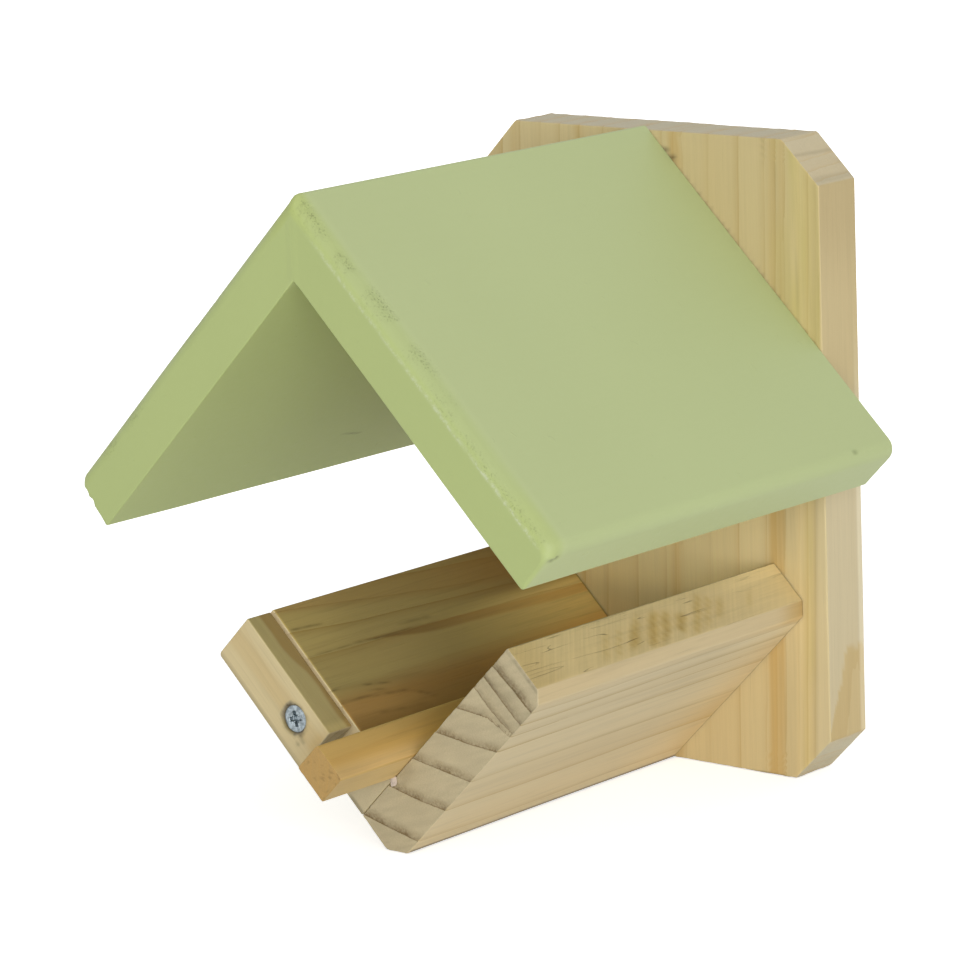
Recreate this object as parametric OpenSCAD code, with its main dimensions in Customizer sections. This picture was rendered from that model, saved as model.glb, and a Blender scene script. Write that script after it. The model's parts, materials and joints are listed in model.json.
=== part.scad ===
// Wooden wall holder for a jar of bird food.
// A V-shaped tray carries the jar on its side under a gable roof, and both are screwed to a back board
// from behind. A perch bar lies in the corner of the V, and a turn button on the left tray board swings
// in front of the jar. Millimetres, +Z up, +X to the right seen from the front. The wall is the plane
// y = 0, and the origin is the middle of the wall hole on the rear face of the back board.

/* [Back board] */
// Width of the back board
back_w = 125; // [105:1:150]
// Height of the back board
back_h = 190; // [175:1:230]
// Thickness of the back board
back_t = 18; // [12:0.5:24]
// Length that each corner cut takes off a side
corner_cut = 13; // [4:0.5:25]
// Diameter of the wall hole
wall_hole_d = 5; // [3:0.5:8]
// Distance from the top of the back board down to the wall hole
wall_hole_drop = 50; // [45:1:70]

/* [Roof] */
// Length of each roof board down its outer slope
roof_slope = 125; // [105:1:140]
// Depth of the roof in front of the back board
roof_depth = 154; // [130:1:180]
// Thickness of the roof boards
roof_t = 17; // [12:0.5:22]
// Height of the ridge above the top of the back board
ridge_over = 1.5; // [0:0.5:8]
// Rounding of the outer edges of the roof boards, along the front and the eaves
roof_round = 4; // [1:0.5:6]

/* [Tray] */
// Width of each face inside the V
tray_face = 61.5; // [56:0.5:72]
// Depth of the tray in front of the back board
tray_depth = 122; // [100:1:145]
// Thickness of the tray boards
tray_t = 18; // [12:0.5:22]
// Width of the flat foot under the V
foot_w = 8; // [2:0.5:12]
// Leg of the cut along the outer top edge of each tray board
edge_cut = 3.5; // [1:0.5:6]

/* [Perch bar] */
// Length of the perch bar in front of the back board
perch_len = 152; // [125:1:180]
// Size of the perch bar up the left face of the V
perch_w = 12.5; // [8:0.5:14]
// Size of the perch bar up the right face of the V
perch_t = 11; // [8:0.5:16]

/* [Turn button] */
// Length of the turn button
button_len = 42; // [34:0.5:46]
// Width of the turn button
button_w = 17.2; // [14:0.2:19]
// Thickness of the turn button
button_t = 10; // [8:0.5:16]
// Distance of the turn button back from the inner face of the V
button_inset = 0.8; // [0.5:0.1:3]
// Distance from the lower end of the turn button to its screw
button_hole_up = 11; // [9:0.5:13]
// Distance from the inner edge of the turn button to its screw
button_hole_in = 7.6; // [6:0.2:9]

/* [Fasteners] */
// Shank diameter of the screws
screw_d = 4; // [3:0.5:5]
// Head diameter of the screws
head_d = 8; // [7:0.5:10]
// Depth of the screw heads below the face
head_sink = 0.4; // [0.2:0.1:1]
// Length of the screws that go through the back board
back_screw_len = 45; // [30:5:60]
// Length of the turn button's screw
button_screw_len = 35; // [25:5:50]
// Distance from a screw to the nearest edge of its board
screw_edge = 12; // [9:0.5:16]
// Distance of the upper roof screws from the middle plane
roof_screw_x = 17; // [12:0.5:24]
// Diameter of the brads across the ridge
brad_d = 1.6; // [1.2:0.1:2.5]
// Length of the brads across the ridge
brad_len = 30; // [20:5:40]
// Depth of the brads below the painted face
brad_sink = 1; // [0.5:0.5:3]
// Number of brads along the ridge
brad_count = 3; // [2:1:5]
// Distance from the outer brads to the ends of the roof boards
brad_edge = 20; // [10:1:40]

/* [Fits] */
// Radial room around a screw or brad in its hole
screw_fit = 0.05; // [0.02:0.01:0.1]
// Radial room around the screw that the turn button swings on
turn_fit = 0.08; // [0.02:0.01:0.1]
// Room between the turn button and the end of the tray
turn_gap = 0.2; // [0.1:0.1:0.5]

/* [Hidden] */
$fn = 96;

// Extra length of a cutter past the face it opens
past = 1;

// Heights from the wall hole, and the faces that the pieces butt on
top_z = wall_hole_drop;
foot_z = top_z - back_h;
ridge_z = top_z + ridge_over;
board_front = -back_t;
roof_front = board_front - roof_depth;
tray_front = board_front - tray_depth;
button_back = tray_front - turn_gap;
button_front = button_back - button_t;

// The roof and the V both stand at half a right angle
tilt = 45;
// Height of the corner inside the V above the foot
corner_rise = tray_t / cos(tilt) - foot_w / 2;
corner_z = foot_z + corner_rise;

// Screw shape: a thin rim on the head, a right-angled countersink, a pointed tip and a cross recess
head_rim = 0.4;
tip_len = screw_d;
recess_span = head_d * 0.56;
recess_slot = head_d * 0.13;
recess_depth = head_d * 0.25;
brad_tip = brad_d;

// Places of the screws along the middle of the boards
tray_screw_near = screw_edge;
tray_screw_far = tray_face - screw_edge;
roof_screw_far_x = back_w / 2 - screw_edge;
roof_screw_places = [roof_screw_x, roof_screw_far_x];
tray_screw_places = [tray_screw_near, tray_screw_far];
button_screw_place = [-button_inset - button_hole_in, tray_face - button_len + button_hole_up];
brad_step = (roof_depth - 2 * brad_edge) / (brad_count - 1);

pine = [0.87, 0.76, 0.55];
tray_pine = [0.85, 0.73, 0.51];
golden_pine = [0.80, 0.60, 0.32];
sage_green = [0.69, 0.74, 0.53];
zinc = [0.72, 0.76, 0.80];
steel = [0.60, 0.60, 0.62];

// Carries an outline drawn in x and z forward from the plane y by a depth
module forward(y, depth)
    translate([0, y, 0])
        rotate([90, 0, 0])
            linear_extrude(height = depth)
                children();

// Section plane of the tray: x runs up the right face of the V, y up the left face, from the corner inside
module tray_section()
    translate([0, corner_z])
        rotate(tilt)
            children();

// Section plane of the right roof board: x runs down the outer slope from the ridge, y out of the slope
module roof_section()
    translate([0, ridge_z])
        rotate(-tilt)
            children();

// Puts a solid at a place of the tray's section, in the plane y
module at_tray(place, y)
    translate([0, y, corner_z])
        rotate([0, -tilt, 0])
            translate([place.x, 0, place.y])
                children();

// Turns a solid that points along -z to point to the front, or to the wall
module to_front()
    rotate([-90, 0, 0])
        children();

module to_wall()
    rotate([90, 0, 0])
        children();

// Rectangle with each corner cut off by its own leg, counted anticlockwise from the low corner
module cut_rectangle(low, high, legs)
    polygon([
        [low.x + legs[0], low.y],
        [high.x - legs[1], low.y],
        [high.x, low.y + legs[1]],
        [high.x, high.y - legs[2]],
        [high.x - legs[2], high.y],
        [low.x + legs[3], high.y],
        [low.x, high.y - legs[3]],
        [low.x, low.y + legs[0]]
    ]);

// Countersunk screw along -z, with the face that it is driven into at z = 0
module screw(length) {
    head_r = head_d / 2;
    shank_r = screw_d / 2;
    cone_end = head_sink + head_rim + head_r - shank_r;
    difference() {
        rotate_extrude()
            polygon([
                [0, -head_sink],
                [head_r, -head_sink],
                [head_r, -head_sink - head_rim],
                [shank_r, -cone_end],
                [shank_r, tip_len - length],
                [0, -length]
            ]);
        for (turn = [0, 90])
            rotate(turn)
                translate([-recess_span / 2, -recess_slot / 2, -head_sink - recess_depth])
                    cube([recess_span, recess_slot, recess_depth + past]);
    }
}

// Room for that screw, with the countersink carried up to the face
module screw_room(length, fit) {
    mouth_r = head_d / 2 + head_rim + head_sink + fit;
    shank_r = screw_d / 2 + fit;
    cone_end = mouth_r - shank_r;
    rotate_extrude()
        polygon([
            [0, past],
            [mouth_r, past],
            [mouth_r, 0],
            [shank_r, -cone_end],
            [shank_r, tip_len - length],
            [0, -length - fit]
        ]);
}

// Children at the four places where the roof is screwed on from the wall side
module at_roof_screws()
    for (side = [-1, 1], x = roof_screw_places)
        translate([side * x, 0, ridge_z - x - roof_t / 2 / cos(tilt)])
            to_front()
                children();

// Children at the four places where the tray is screwed on from the wall side
module at_tray_screws()
    for (s = tray_screw_places) {
        at_tray([s, -tray_t / 2], 0)
            to_front()
                children();
        at_tray([-tray_t / 2, s], 0)
            to_front()
                children();
    }

// Children at the turn button's screw, pointing back from the button's front face
module at_button_screw()
    at_tray(button_screw_place, button_front)
        to_wall()
            children();

// Brad with its head up at z = 0 and its point down
module brad(fit) {
    brad_r = brad_d / 2 + fit;
    rotate_extrude()
        polygon([[0, fit], [brad_r, fit], [brad_r, brad_tip - brad_len], [0, -brad_len - fit]]);
}

// Brads driven square through the right roof board into the middle of the left one
module all_brads(fit)
    for (i = [0 : brad_count - 1])
        translate([0, board_front - brad_edge - i * brad_step, ridge_z])
            rotate([0, tilt, 0])
                translate([roof_t / 2, 0, -brad_sink])
                    brad(fit);

// What rounding takes off a square corner, drawn from the middle of its arc
module rounding()
    difference() {
        square(roof_round + past);
        circle(r = roof_round);
    }

// Section of the right roof board: mitred at the ridge, with the outer edge of the eave rounded
module roof_outline()
    roof_section()
        difference() {
            polygon([[0, 0], [roof_slope, 0], [roof_slope, -roof_t], [roof_t, -roof_t]]);
            translate([roof_slope - roof_round, -roof_round])
                rounding();
        }

// Cutter that rounds the outer front edge of the right roof board, from the ridge to the eave
module front_rounding()
    translate([0, roof_front + roof_round, ridge_z])
        rotate([0, tilt, 0])
            translate([-past, 0, -roof_round])
                rotate([90, 0, 90])
                    linear_extrude(height = roof_slope + 2 * past)
                        mirror([1, 0])
                            rounding();

module back_board()
    color(pine)
        difference() {
            forward(0, back_t)
                cut_rectangle([-back_w / 2, foot_z], [back_w / 2, top_z], [for (i = [0 : 3]) corner_cut]);
            translate([0, past, 0])
                rotate([90, 0, 0])
                    cylinder(d = wall_hole_d, h = back_t + 2 * past);
            at_roof_screws()
                screw_room(back_screw_len, screw_fit);
            at_tray_screws()
                screw_room(back_screw_len, screw_fit);
        }

module roof_left_board()
    color(sage_green)
        difference() {
            forward(board_front, roof_depth)
                mirror([1, 0])
                    roof_outline();
            mirror([1, 0, 0])
                front_rounding();
            at_roof_screws()
                screw_room(back_screw_len, screw_fit);
            all_brads(screw_fit);
        }

module roof_right_board()
    color(sage_green)
        difference() {
            forward(board_front, roof_depth)
                roof_outline();
            front_rounding();
            at_roof_screws()
                screw_room(back_screw_len, screw_fit);
            all_brads(screw_fit);
        }

module tray_left_board()
    color(tray_pine)
        difference() {
            forward(board_front, tray_depth)
                tray_section()
                    cut_rectangle([-tray_t, 0], [0, tray_face], [0, 0, 0, edge_cut]);
            at_tray_screws()
                screw_room(back_screw_len, screw_fit);
            at_button_screw()
                screw_room(button_screw_len, screw_fit);
        }

module tray_right_board()
    color(tray_pine)
        difference() {
            forward(board_front, tray_depth)
                tray_section()
                    cut_rectangle([-tray_t, -tray_t], [tray_face, 0], [foot_w * cos(tilt), edge_cut, 0, 0]);
            at_tray_screws()
                screw_room(back_screw_len, screw_fit);
        }

module perch_bar()
    color(golden_pine)
        forward(board_front, perch_len)
            tray_section()
                square([perch_t, perch_w]);

module turn_button()
    color(pine)
        difference() {
            forward(button_back, button_t)
                tray_section()
                    translate([-button_inset - button_w, tray_face - button_len])
                        square([button_w, button_len]);
            at_button_screw()
                screw_room(button_screw_len, turn_fit);
        }

module turn_button_screw()
    color(zinc)
        at_button_screw()
            screw(button_screw_len);

module roof_screws()
    color(zinc)
        at_roof_screws()
            screw(back_screw_len);

module tray_screws()
    color(zinc)
        at_tray_screws()
            screw(back_screw_len);

module ridge_brads()
    color(steel)
        all_brads(0);

back_board();
roof_left_board();
roof_right_board();
tray_left_board();
tray_right_board();
perch_bar();
turn_button();
turn_button_screw();
roof_screws();
tray_screws();
ridge_brads();
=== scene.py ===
"""Looks of a wooden jar holder for bird food: boards, paint, screws and a plain studio around its frame."""

import json
import math
from types import SimpleNamespace

import bpy
import numpy as np
from mathutils import Matrix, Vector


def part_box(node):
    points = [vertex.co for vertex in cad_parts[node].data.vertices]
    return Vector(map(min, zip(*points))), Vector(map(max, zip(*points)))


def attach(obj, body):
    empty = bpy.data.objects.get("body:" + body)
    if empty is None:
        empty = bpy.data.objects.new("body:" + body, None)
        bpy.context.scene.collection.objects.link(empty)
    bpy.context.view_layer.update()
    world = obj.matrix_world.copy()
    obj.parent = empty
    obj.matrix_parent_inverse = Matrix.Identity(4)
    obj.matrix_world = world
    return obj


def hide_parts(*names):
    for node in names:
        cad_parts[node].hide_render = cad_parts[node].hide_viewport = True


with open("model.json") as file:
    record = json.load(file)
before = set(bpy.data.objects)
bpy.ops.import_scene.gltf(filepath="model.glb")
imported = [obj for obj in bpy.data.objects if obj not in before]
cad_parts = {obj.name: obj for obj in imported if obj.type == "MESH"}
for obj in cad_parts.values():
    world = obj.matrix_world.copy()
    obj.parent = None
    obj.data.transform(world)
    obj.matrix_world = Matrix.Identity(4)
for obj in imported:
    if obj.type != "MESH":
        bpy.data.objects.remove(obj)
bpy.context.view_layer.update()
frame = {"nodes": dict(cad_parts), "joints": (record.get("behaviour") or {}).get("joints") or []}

bl_info = {
    "name": "Jar Holder",
    "version": (1, 0, 0),
    "blender": (4, 5, 0),
    "location": "3D View > Sidebar > Jar Holder",
    "description": "Builds the boards, screws, finishes and studio of a wooden jar holder",
    "category": "Add Mesh",
}

MM = 1000.0
HALF = math.sqrt(0.5)
WHITE = (1.0, 1.0, 1.0, 1.0)
ARC = 9  # points on the arc of a section's corner
BEND = 6  # rings round the edge of a board's end
SCREW_TURN = 96  # points round a screw
SHARP_TURN = math.radians(48.0)  # an edge that turns more stays sharp
HASH_AXES = np.array((374761393, 668265263, 1442695041))  # odd multipliers of the noise
HASH_SEED = 974711
HASH_MIX = 1274126177


def span(node):
    """Lowest and highest corner of a node of the frame, in millimetres."""
    low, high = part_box(node)
    return np.array(low) * MM, np.array(high) * MM


BACK_LOW, BACK_HIGH = span("back_board")
ROOF_LOW, ROOF_HIGH = span("roof_right_board")
TRAY_LOW, TRAY_HIGH = span("tray_right_board")
PERCH_LOW, PERCH_HIGH = span("perch_bar")
BUTTON_LOW, BUTTON_HIGH = span("turn_button")
PIVOT = np.array(frame["joints"][0]["pos_m"]) * MM

WALL_TO_FRONT = -BACK_LOW[1]
ROOF_FRONT = -ROOF_LOW[1]
RIDGE_Z = ROOF_HIGH[2]
TRAY_FRONT = -TRAY_LOW[1]
VEE_Z = PERCH_LOW[2]
TRAY_T = -TRAY_LOW[0] / HALF
TRAY_FACE = (TRAY_HIGH[2] - VEE_Z) / HALF
PERCH_T = PERCH_HIGH[0] / HALF
PERCH_W = -PERCH_LOW[0] / HALF
BUTTON_IN = -TRAY_T
BUTTON_TOP = TRAY_FACE
BUTTON_OUT = (BUTTON_HIGH[2] - VEE_Z) / HALF - BUTTON_TOP
BUTTON_END = (BUTTON_LOW[2] - VEE_Z) / HALF - BUTTON_IN

# Screws and holes, in millimetres
HEAD_R = 4.0
HEAD_SINK = 0.4
HEAD_MOUTH = HEAD_R + HEAD_SINK + 0.05
SHANK_R = 2.0
TIP_ROOM = 0.1
BOARD_SCREW = 45.0
BUTTON_SCREW = 35.0
ROOF_SCREWS = ((-50.5, -11.02), (-17.0, 22.48), (17.0, 22.48), (50.5, -11.02))
TRAY_SCREWS = ((-41.37, -89.91), (-14.85, -116.42), (14.85, -116.42), (41.37, -89.91))
WALL_HOLE_R = 2.5
SCREW_HOLE_DEPTH = 8.0  # ends out of sight behind the head
CORNER_CUT = 13.0  # of the back board
# Half the width of the gap in a board's end that the rings of a hole fill
SCREW_GAP = 6.5
WALL_GAP = 4.2
BUTTON_GAP = 5.6

# Roof: painted light and shade on the paint by the way round its front edge, counted from the flat of the front
ROUND_WAY = (-1.5, -0.3, 0.3, 0.9, 1.75, 2.8, 3.9, 5.1, 6.4, 8.3, 10.0, 40.0, 70.0)
ROUND_PAINTED_SHADING = (-0.022, -0.01, 0.05, 0.045, 0.0, -0.07, -0.095, -0.085, -0.018, 0.01, -0.018, -0.018, 0.0)
# Chips in the paint: (x, depth, z) before the left-hand board is mirrored, radius, depth of the chip, stain
ROOF_CHIPS = {
    "left": (((85.0, 171.6, -40.3), 1.5, 1.7, 0.0), ((82.7, 171.6, -42.5), 1.4, 1.6, 0.0)),
    "right": (((84.6, 169.6, -39.8), 0.9, 0.5, 0.9), ((85.8, 168.2, -39.6), 0.7, 0.4, 0.8),
              ((86.2, 35.2, -34.8), 0.9, 0.15, 0.5)),
}
# Grain lines across the front of the back board
BACK_LINES = np.array([
    -85.0, -72.0, -62.0, -55.5, -49.0, -41.0, -33.5, -26.0, -17.0, -5.0, 5.5, 9.5, 12.0, 22.0, 33.0, 42.8, 46.5,
    48.3, 49.3, 54.8, 57.6, 60.3, 66.0, 75.0])
# Ring lines up the right tray board: on its inner face, in the middle and on its outer face
RIGHT_LINES = np.array([
    [-31.0, -17.5, -3.5, 9.7, 22.2, 33.6, 43.5, 48.3, 53.1, 62.5, 70.0],
    [-27.0, -12.1, 2.1, 15.9, 28.9, 41.0, 43.1, 48.4, 53.7, 63.0, 70.0],
    [-21.0, -6.6, 8.6, 22.2, 36.5, 43.7, 44.3, 48.7, 54.4, 63.5, 70.0]])
# Brown saw bars on the top of the right tray board: depth, width, strength
SAW_BARS = ((104.0, 1.2, 0.35), (98.2, 1.0, 0.4), (91.0, 1.8, 0.9), (82.6, 2.0, 1.0), (76.9, 1.7, 0.9),
            (69.9, 1.9, 1.0), (62.3, 1.5, 0.7), (57.5, 1.2, 0.5), (52.0, 1.4, 0.5), (37.6, 1.2, 0.25))
# Ring lines up the left tray board: at the wall and at the front
LEFT_LINES = np.array([
    [-24.0, -12.0, 0.0, 11.0, 19.0, 30.0, 40.6, 45.2, 47.5, 55.0, 64.0],
    [-22.0, -9.0, 3.0, 14.5, 26.5, 32.0, 43.8, 53.0, 60.5, 66.0, 74.0]])
# Dark nicks in the inner face of the left tray board: height, slope, depth of the middle, of both ends, width
LEFT_NICKS = ((45.1, 0.05, 92.0, 86.0, 98.5, 0.5), (53.1, 0.07, 132.7, 126.0, 139.0, 0.4),
              (43.5, 0.08, 115.8, 108.0, 121.0, 0.35), (43.2, -0.03, 100.0, 92.0, 109.0, 0.4),
              (43.7, 0.02, 126.6, 118.0, 136.0, 0.3), (31.5, -0.1, 139.0, 136.5, 141.0, 0.3),
              (27.7, 0.14, 123.7, 120.5, 127.0, 0.35), (29.5, 0.17, 122.0, 117.0, 127.0, 0.35),
              (19.6, 0.08, 118.0, 108.0, 128.0, 0.45))
# Curved scratch in the same face: depths and heights
HOLLOW_DEPTH = (103.7, 107.0, 113.0, 120.4, 130.0, 137.7)
HOLLOW_HEIGHT = (19.3, 21.9, 24.4, 25.3, 26.5, 26.9)
# Crumbs of dirt on the turn button, in the tray's own axes
CRUMBS = ((-10.1, 25.6), (-10.7, 24.2), (-12.8, 24.9))

# Finish noise: three scales per millimetre, detail, roughness; the first scale of wood is along the grain
WOOD_NOISE = {
    "wander": (0.010, 0.11, 0.11, 3.0, 0.55),
    "fibre": (0.022, 1.3, 1.3, 5.0, 0.62),
    "hair": (0.06, 4.6, 4.6, 2.0, 0.5),
    "cloud": (0.008, 0.05, 0.05, 2.0, 0.5),
    "resin": (0.045, 2.7, 2.7, 1.0, 0.4),
    "feather": (0.016, 0.42, 0.42, 4.0, 0.68),
    "pores": (0.9, 2.2, 2.2, 3.0, 0.6),
    "torn": (0.2, 1.1, 1.1, 5.0, 0.75),
    "patch": (0.2, 0.14, 0.14, 1.0, 0.5),
    "bars": (0.62, 0.035, 0.035, 3.0, 0.65),
    "strokes": (0.022, 0.55, 0.55, 1.0, 0.5),
    "broken": (0.05, 0.3, 0.3, 1.0, 0.5),
}
PAINT_NOISE = {
    "cloud": (0.022, 0.012, 0.022, 2.0, 0.5),
    "streak": (0.9, 0.03, 0.9, 3.0, 0.55),
    "peel": (0.55, 0.4, 0.55, 2.0, 0.5),
    "grit": (1.5, 1.5, 1.5, 2.0, 0.6),
    "dust": (0.33, 0.33, 0.33, 0.0, 0.5),
    "fleck": (0.5, 0.5, 0.5, 4.0, 0.7),
}
METAL_NOISE = {"cloud": (0.9, 0.9, 0.9, 3.0, 0.6), "scuff": (3.0, 3.0, 9.0, 2.0, 0.6)}
GLUE_NOISE = {"cloud": (0.8, 0.8, 0.8, 3.0, 0.6)}
# Values that a wooden piece carries on its points, besides its grain, rings and ends; soil also carries painted
# shade, and tone carries painted light and shade
WOOD_VALUES = ("sawn", "soil", "tone", "tint", "lime", "pale")

# Studio: floor in millimetres, lamps in metres; a lamp's turn to the right of the front and its rise in degrees
FLOOR_REACH = 4000.0
FLOOR_DROP = 0.05
LAMPS = {"key": (45.0, 5.0), "side": (90.0, 10.0), "top": (40.0, 80.0)}
LAMP_AIM = (0.0, -0.09, -0.04)
LAMP_AWAY = 1.9
LAMP_SIZE = 1.2
SENSOR = 36.0


def srgb(red, green, blue):
    """Linear colour of three display values from 0 to 255."""
    level = np.array((red, green, blue)) / 255.0
    linear = np.where(level <= 0.04045, level / 12.92, ((level + 0.055) / 1.055) ** 2.4)
    return tuple(float(v) for v in linear)


def colour(name, description, *level):
    """Colour property with a default given in display values."""
    return bpy.props.FloatVectorProperty(
        name=name, description=description, subtype="COLOR", size=3, min=0.0, max=1.0, default=srgb(*level))


def length(name, description, millimetres):
    """Length property with a default given in millimetres."""
    return bpy.props.FloatProperty(
        name=name, description=description, unit="LENGTH", precision=5, default=millimetres / MM)


def angle(name, description, degrees):
    """Angle property with a default given in degrees."""
    return bpy.props.FloatProperty(
        name=name, description=description, unit="ROTATION", default=math.radians(degrees))


def amount(name, description, value, unit="NONE"):
    """Plain number, or a power in watts."""
    return bpy.props.FloatProperty(name=name, description=description, unit=unit, default=value)


class JARHOLDER_PG_sizes(bpy.types.PropertyGroup):
    """Small sizes of the woodwork that the frame leaves open."""

    roof_t: length("Roof thickness", "Thickness of the roof boards", 17.0)
    roof_round: length("Roof round", "Radius along the front and the eaves of the roof", 4.0)
    ridge_round: length("Ridge round", "Radius of the painted ridge", 1.4)
    planed_edge: length("Planed edge", "Radius of the edges of planed boards", 0.6)
    sawn_edge: length("Sawn edge", "Radius of the edges at sawn ends", 0.35)
    ring_relief: length("Ring relief", "Depth of the torn growth rings on a sawn end", 0.45)
    pit_depth: length("Pit depth", "Depth of the pits along the front of the roof", 0.3)


class JARHOLDER_PG_colours(bpy.types.PropertyGroup):
    """Colours of the finishes."""

    paint: colour("Paint", "Sage green paint of the roof", 179, 190, 136)
    paint_edge: colour("Worn paint", "Yellower paint on the front and its rounded edges", 177, 190, 124)
    paint_pit: colour("Paint pits", "Dark paint in pits and chips", 104, 110, 68)
    paint_dust: colour("Dusty paint", "Greyer paint in the shade under the roof", 191, 188, 151)
    paint_dry: colour("Dry paint", "Pale rubbed paint where the round meets the front", 222, 226, 206)
    back_early: colour("Back board", "Pale wood of the back board", 214, 195, 148)
    back_late: colour("Back board rings", "Grain lines of the back board", 186, 154, 92)
    back_stain: colour("Back board heartwood", "Orange bands of the back board", 202, 168, 104)
    back_end: colour("Back board ends", "End grain of the back board", 186, 178, 154)
    tray_early: colour("Tray", "Pale wood of the right tray board", 212, 197, 162)
    tray_late: colour("Tray rings", "Grain lines of the right tray board", 174, 150, 98)
    tray_stain: colour("Tray heartwood", "Yellow brown wood of the right tray board", 190, 158, 98)
    tray_end: colour("Tray ends", "End grain of the tray boards", 194, 180, 146)
    tray_groove: colour("Tray end rings", "Torn rings on the ends of the tray boards", 136, 116, 82)
    # The left tray board's colours are darkened as painted shade in the V under the roof
    left_early: colour("Left tray board", "Olive wood of the left tray board", 178, 164, 112)
    left_late: colour("Left tray board rings", "Grain lines of the left tray board", 128, 100, 50)
    left_stain: colour("Left tray board heartwood", "Reddish bands of the left tray board", 172, 132, 76)
    button_early: colour("Button", "Light wood of the turn button", 212, 195, 151)
    button_late: colour("Button rings", "Grain lines of the turn button", 190, 162, 110)
    perch_early: colour("Perch", "Golden wood of the perch bar", 206, 176, 112)
    perch_late: colour("Perch rings", "Grain lines of the perch bar", 186, 146, 80)
    perch_end: colour("Perch ends", "Reddish end grain of the perch bar", 174, 142, 88)
    sap: colour("Sap edge", "Yellow green tint along board edges", 196, 182, 104)
    pale: colour("Pale wood", "Palest sapwood of the boards", 222, 210, 178)
    zinc: colour("Zinc", "Bluish zinc of the screws", 164, 175, 180)
    steel: colour("Steel", "Bright steel of the brads", 196, 196, 198)
    glue: colour("Glue", "Dried pinkish glue", 216, 198, 182)
    floor: colour("Floor", "Pale studio floor", 240, 240, 240)


class JARHOLDER_PG_studio(bpy.types.PropertyGroup):
    """Camera and light."""

    azimuth: angle("Azimuth", "Turn of the camera to the right of the front", 40.56)
    elevation: angle("Elevation", "Height of the camera above the level", 11.80)
    roll: angle("Roll", "Roll of the camera", -2.156)
    distance: length("Distance", "Distance from the camera to its aim", 1317.4)
    aim: bpy.props.FloatVectorProperty(
        name="Aim", description="Point that the camera looks at", subtype="XYZ", unit="LENGTH", size=3,
        default=(-0.0050, -0.0900, -0.0442))
    lens: amount("Lens", "Focal length in millimetres on a 36 mm sensor", 170.72)
    ambient: amount("Ambient", "Strength of the light from all round", 0.530)
    key: amount("Key", "Power of the soft lamp beside the camera", 22.3, "POWER")
    side: amount("Side", "Power of the soft lamp on the right", 3.45, "POWER")
    top: amount("Top", "Power of the soft lamp overhead", 3.85, "POWER")


class Sock:
    """One value in a material's nodes; sums and products of such values add Math nodes."""

    def __init__(self, tree, output=None):
        self.tree = tree
        self.output = output

    def node(self, kind, settings=None, inputs=None, out=0):
        """Adds a node of a type, sets its settings, then the values or links of its sockets."""
        made = self.tree.nodes.new(kind)
        for key, value in (settings or {}).items():
            setattr(made, key, value)
        for key, value in (inputs or {}).items():
            if isinstance(value, Sock):
                self.tree.links.new(value.output, made.inputs[key])
            else:
                made.inputs[key].default_value = value
        return Sock(self.tree, made.outputs[out]) if made.outputs else Sock(self.tree)

    def math(self, operation, *values):
        return self.node("ShaderNodeMath", {"operation": operation}, dict(enumerate(values)))

    def __add__(self, other):
        return self.math("ADD", self, other)

    __radd__ = __add__

    def __sub__(self, other):
        return self.math("SUBTRACT", self, other)

    def __rsub__(self, other):
        return self.math("SUBTRACT", other, self)

    def __mul__(self, other):
        return self.math("MULTIPLY", self, other)

    __rmul__ = __mul__

    def __truediv__(self, other):
        return self.math("DIVIDE", self, other)

    def __rtruediv__(self, other):
        return self.math("DIVIDE", other, self)

    def size(self):
        return self.math("ABSOLUTE", self)

    def floor(self):
        return self.math("FLOOR", self)

    def chance(self):
        """Value from 0 to 1 that is drawn anew for each whole number."""
        return self.node("ShaderNodeTexWhiteNoise", {"noise_dimensions": "1D"}, {"W": self})

    def rise(self, low, high):
        """Smooth step from 0 at low to 1 at high."""
        return self.node("ShaderNodeMapRange", {"interpolation_type": "SMOOTHSTEP"},
                         {"Value": self, "From Min": low, "From Max": high})

    def fall(self, low, high):
        """Smooth step from 1 at low to 0 at high."""
        return 1.0 - self.rise(low, high)

    def stretch(self, along, across, thick):
        """Vector with its three parts multiplied."""
        return self.node("ShaderNodeVectorMath", {"operation": "MULTIPLY"},
                         {0: self, 1: (along, across, thick)})

    def noises(self, table):
        """Noise values by name, from rows of three scales, detail and roughness."""
        return SimpleNamespace(**{
            key: self.node("ShaderNodeTexNoise", None, {
                "Vector": self.stretch(*scales), "Scale": 1.0, "Detail": detail, "Roughness": roughness})
            for key, (*scales, detail, roughness) in table.items()})

    def blend(self, first, second):
        """Colour that goes from first to second as this value goes from 0 to 1."""
        return self.node("ShaderNodeMix", {"data_type": "RGBA"}, {0: self, 6: first, 7: second}, out=2)

    def shade(self, level):
        """Colour multiplied by a value."""
        return self.node("ShaderNodeVectorMath", {"operation": "SCALE"}, {0: self, "Scale": level})

    def attribute(self, name, vector=False):
        """Value, or vector, that the piece carries on its points."""
        return self.node("ShaderNodeAttribute", {"attribute_name": name}, out=1 if vector else 2)

    def place(self):
        """Place on the piece, in metres."""
        return self.node("ShaderNodeTexCoord", out=3)


def opaque(value, level=(1.0, 1.0, 1.0)):
    """Colour with full alpha, its three parts multiplied by a level."""
    return (*(part * much for part, much in zip(value, level)), 1.0)


def new_material(name):
    """Empty node material and the start of its expressions."""
    material = bpy.data.materials.new(name)
    material.use_nodes = True
    material.node_tree.nodes.clear()
    return material, Sock(material.node_tree)


def close_material(start, base, roughness, height, relief, **constants):
    """Principled surface with a bump of the given height in metres; a constant's name has _ for a space."""
    normal = start.node("ShaderNodeBump", None, {"Strength": 1.0, "Distance": relief, "Height": height})
    inputs = {"Base Color": base, "Roughness": roughness, "Normal": normal}
    inputs.update({key.replace("_", " "): value for key, value in constants.items()})
    surface = start.node("ShaderNodeBsdfPrincipled", None, inputs)
    start.node("ShaderNodeOutputMaterial", None, {"Surface": surface})


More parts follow.
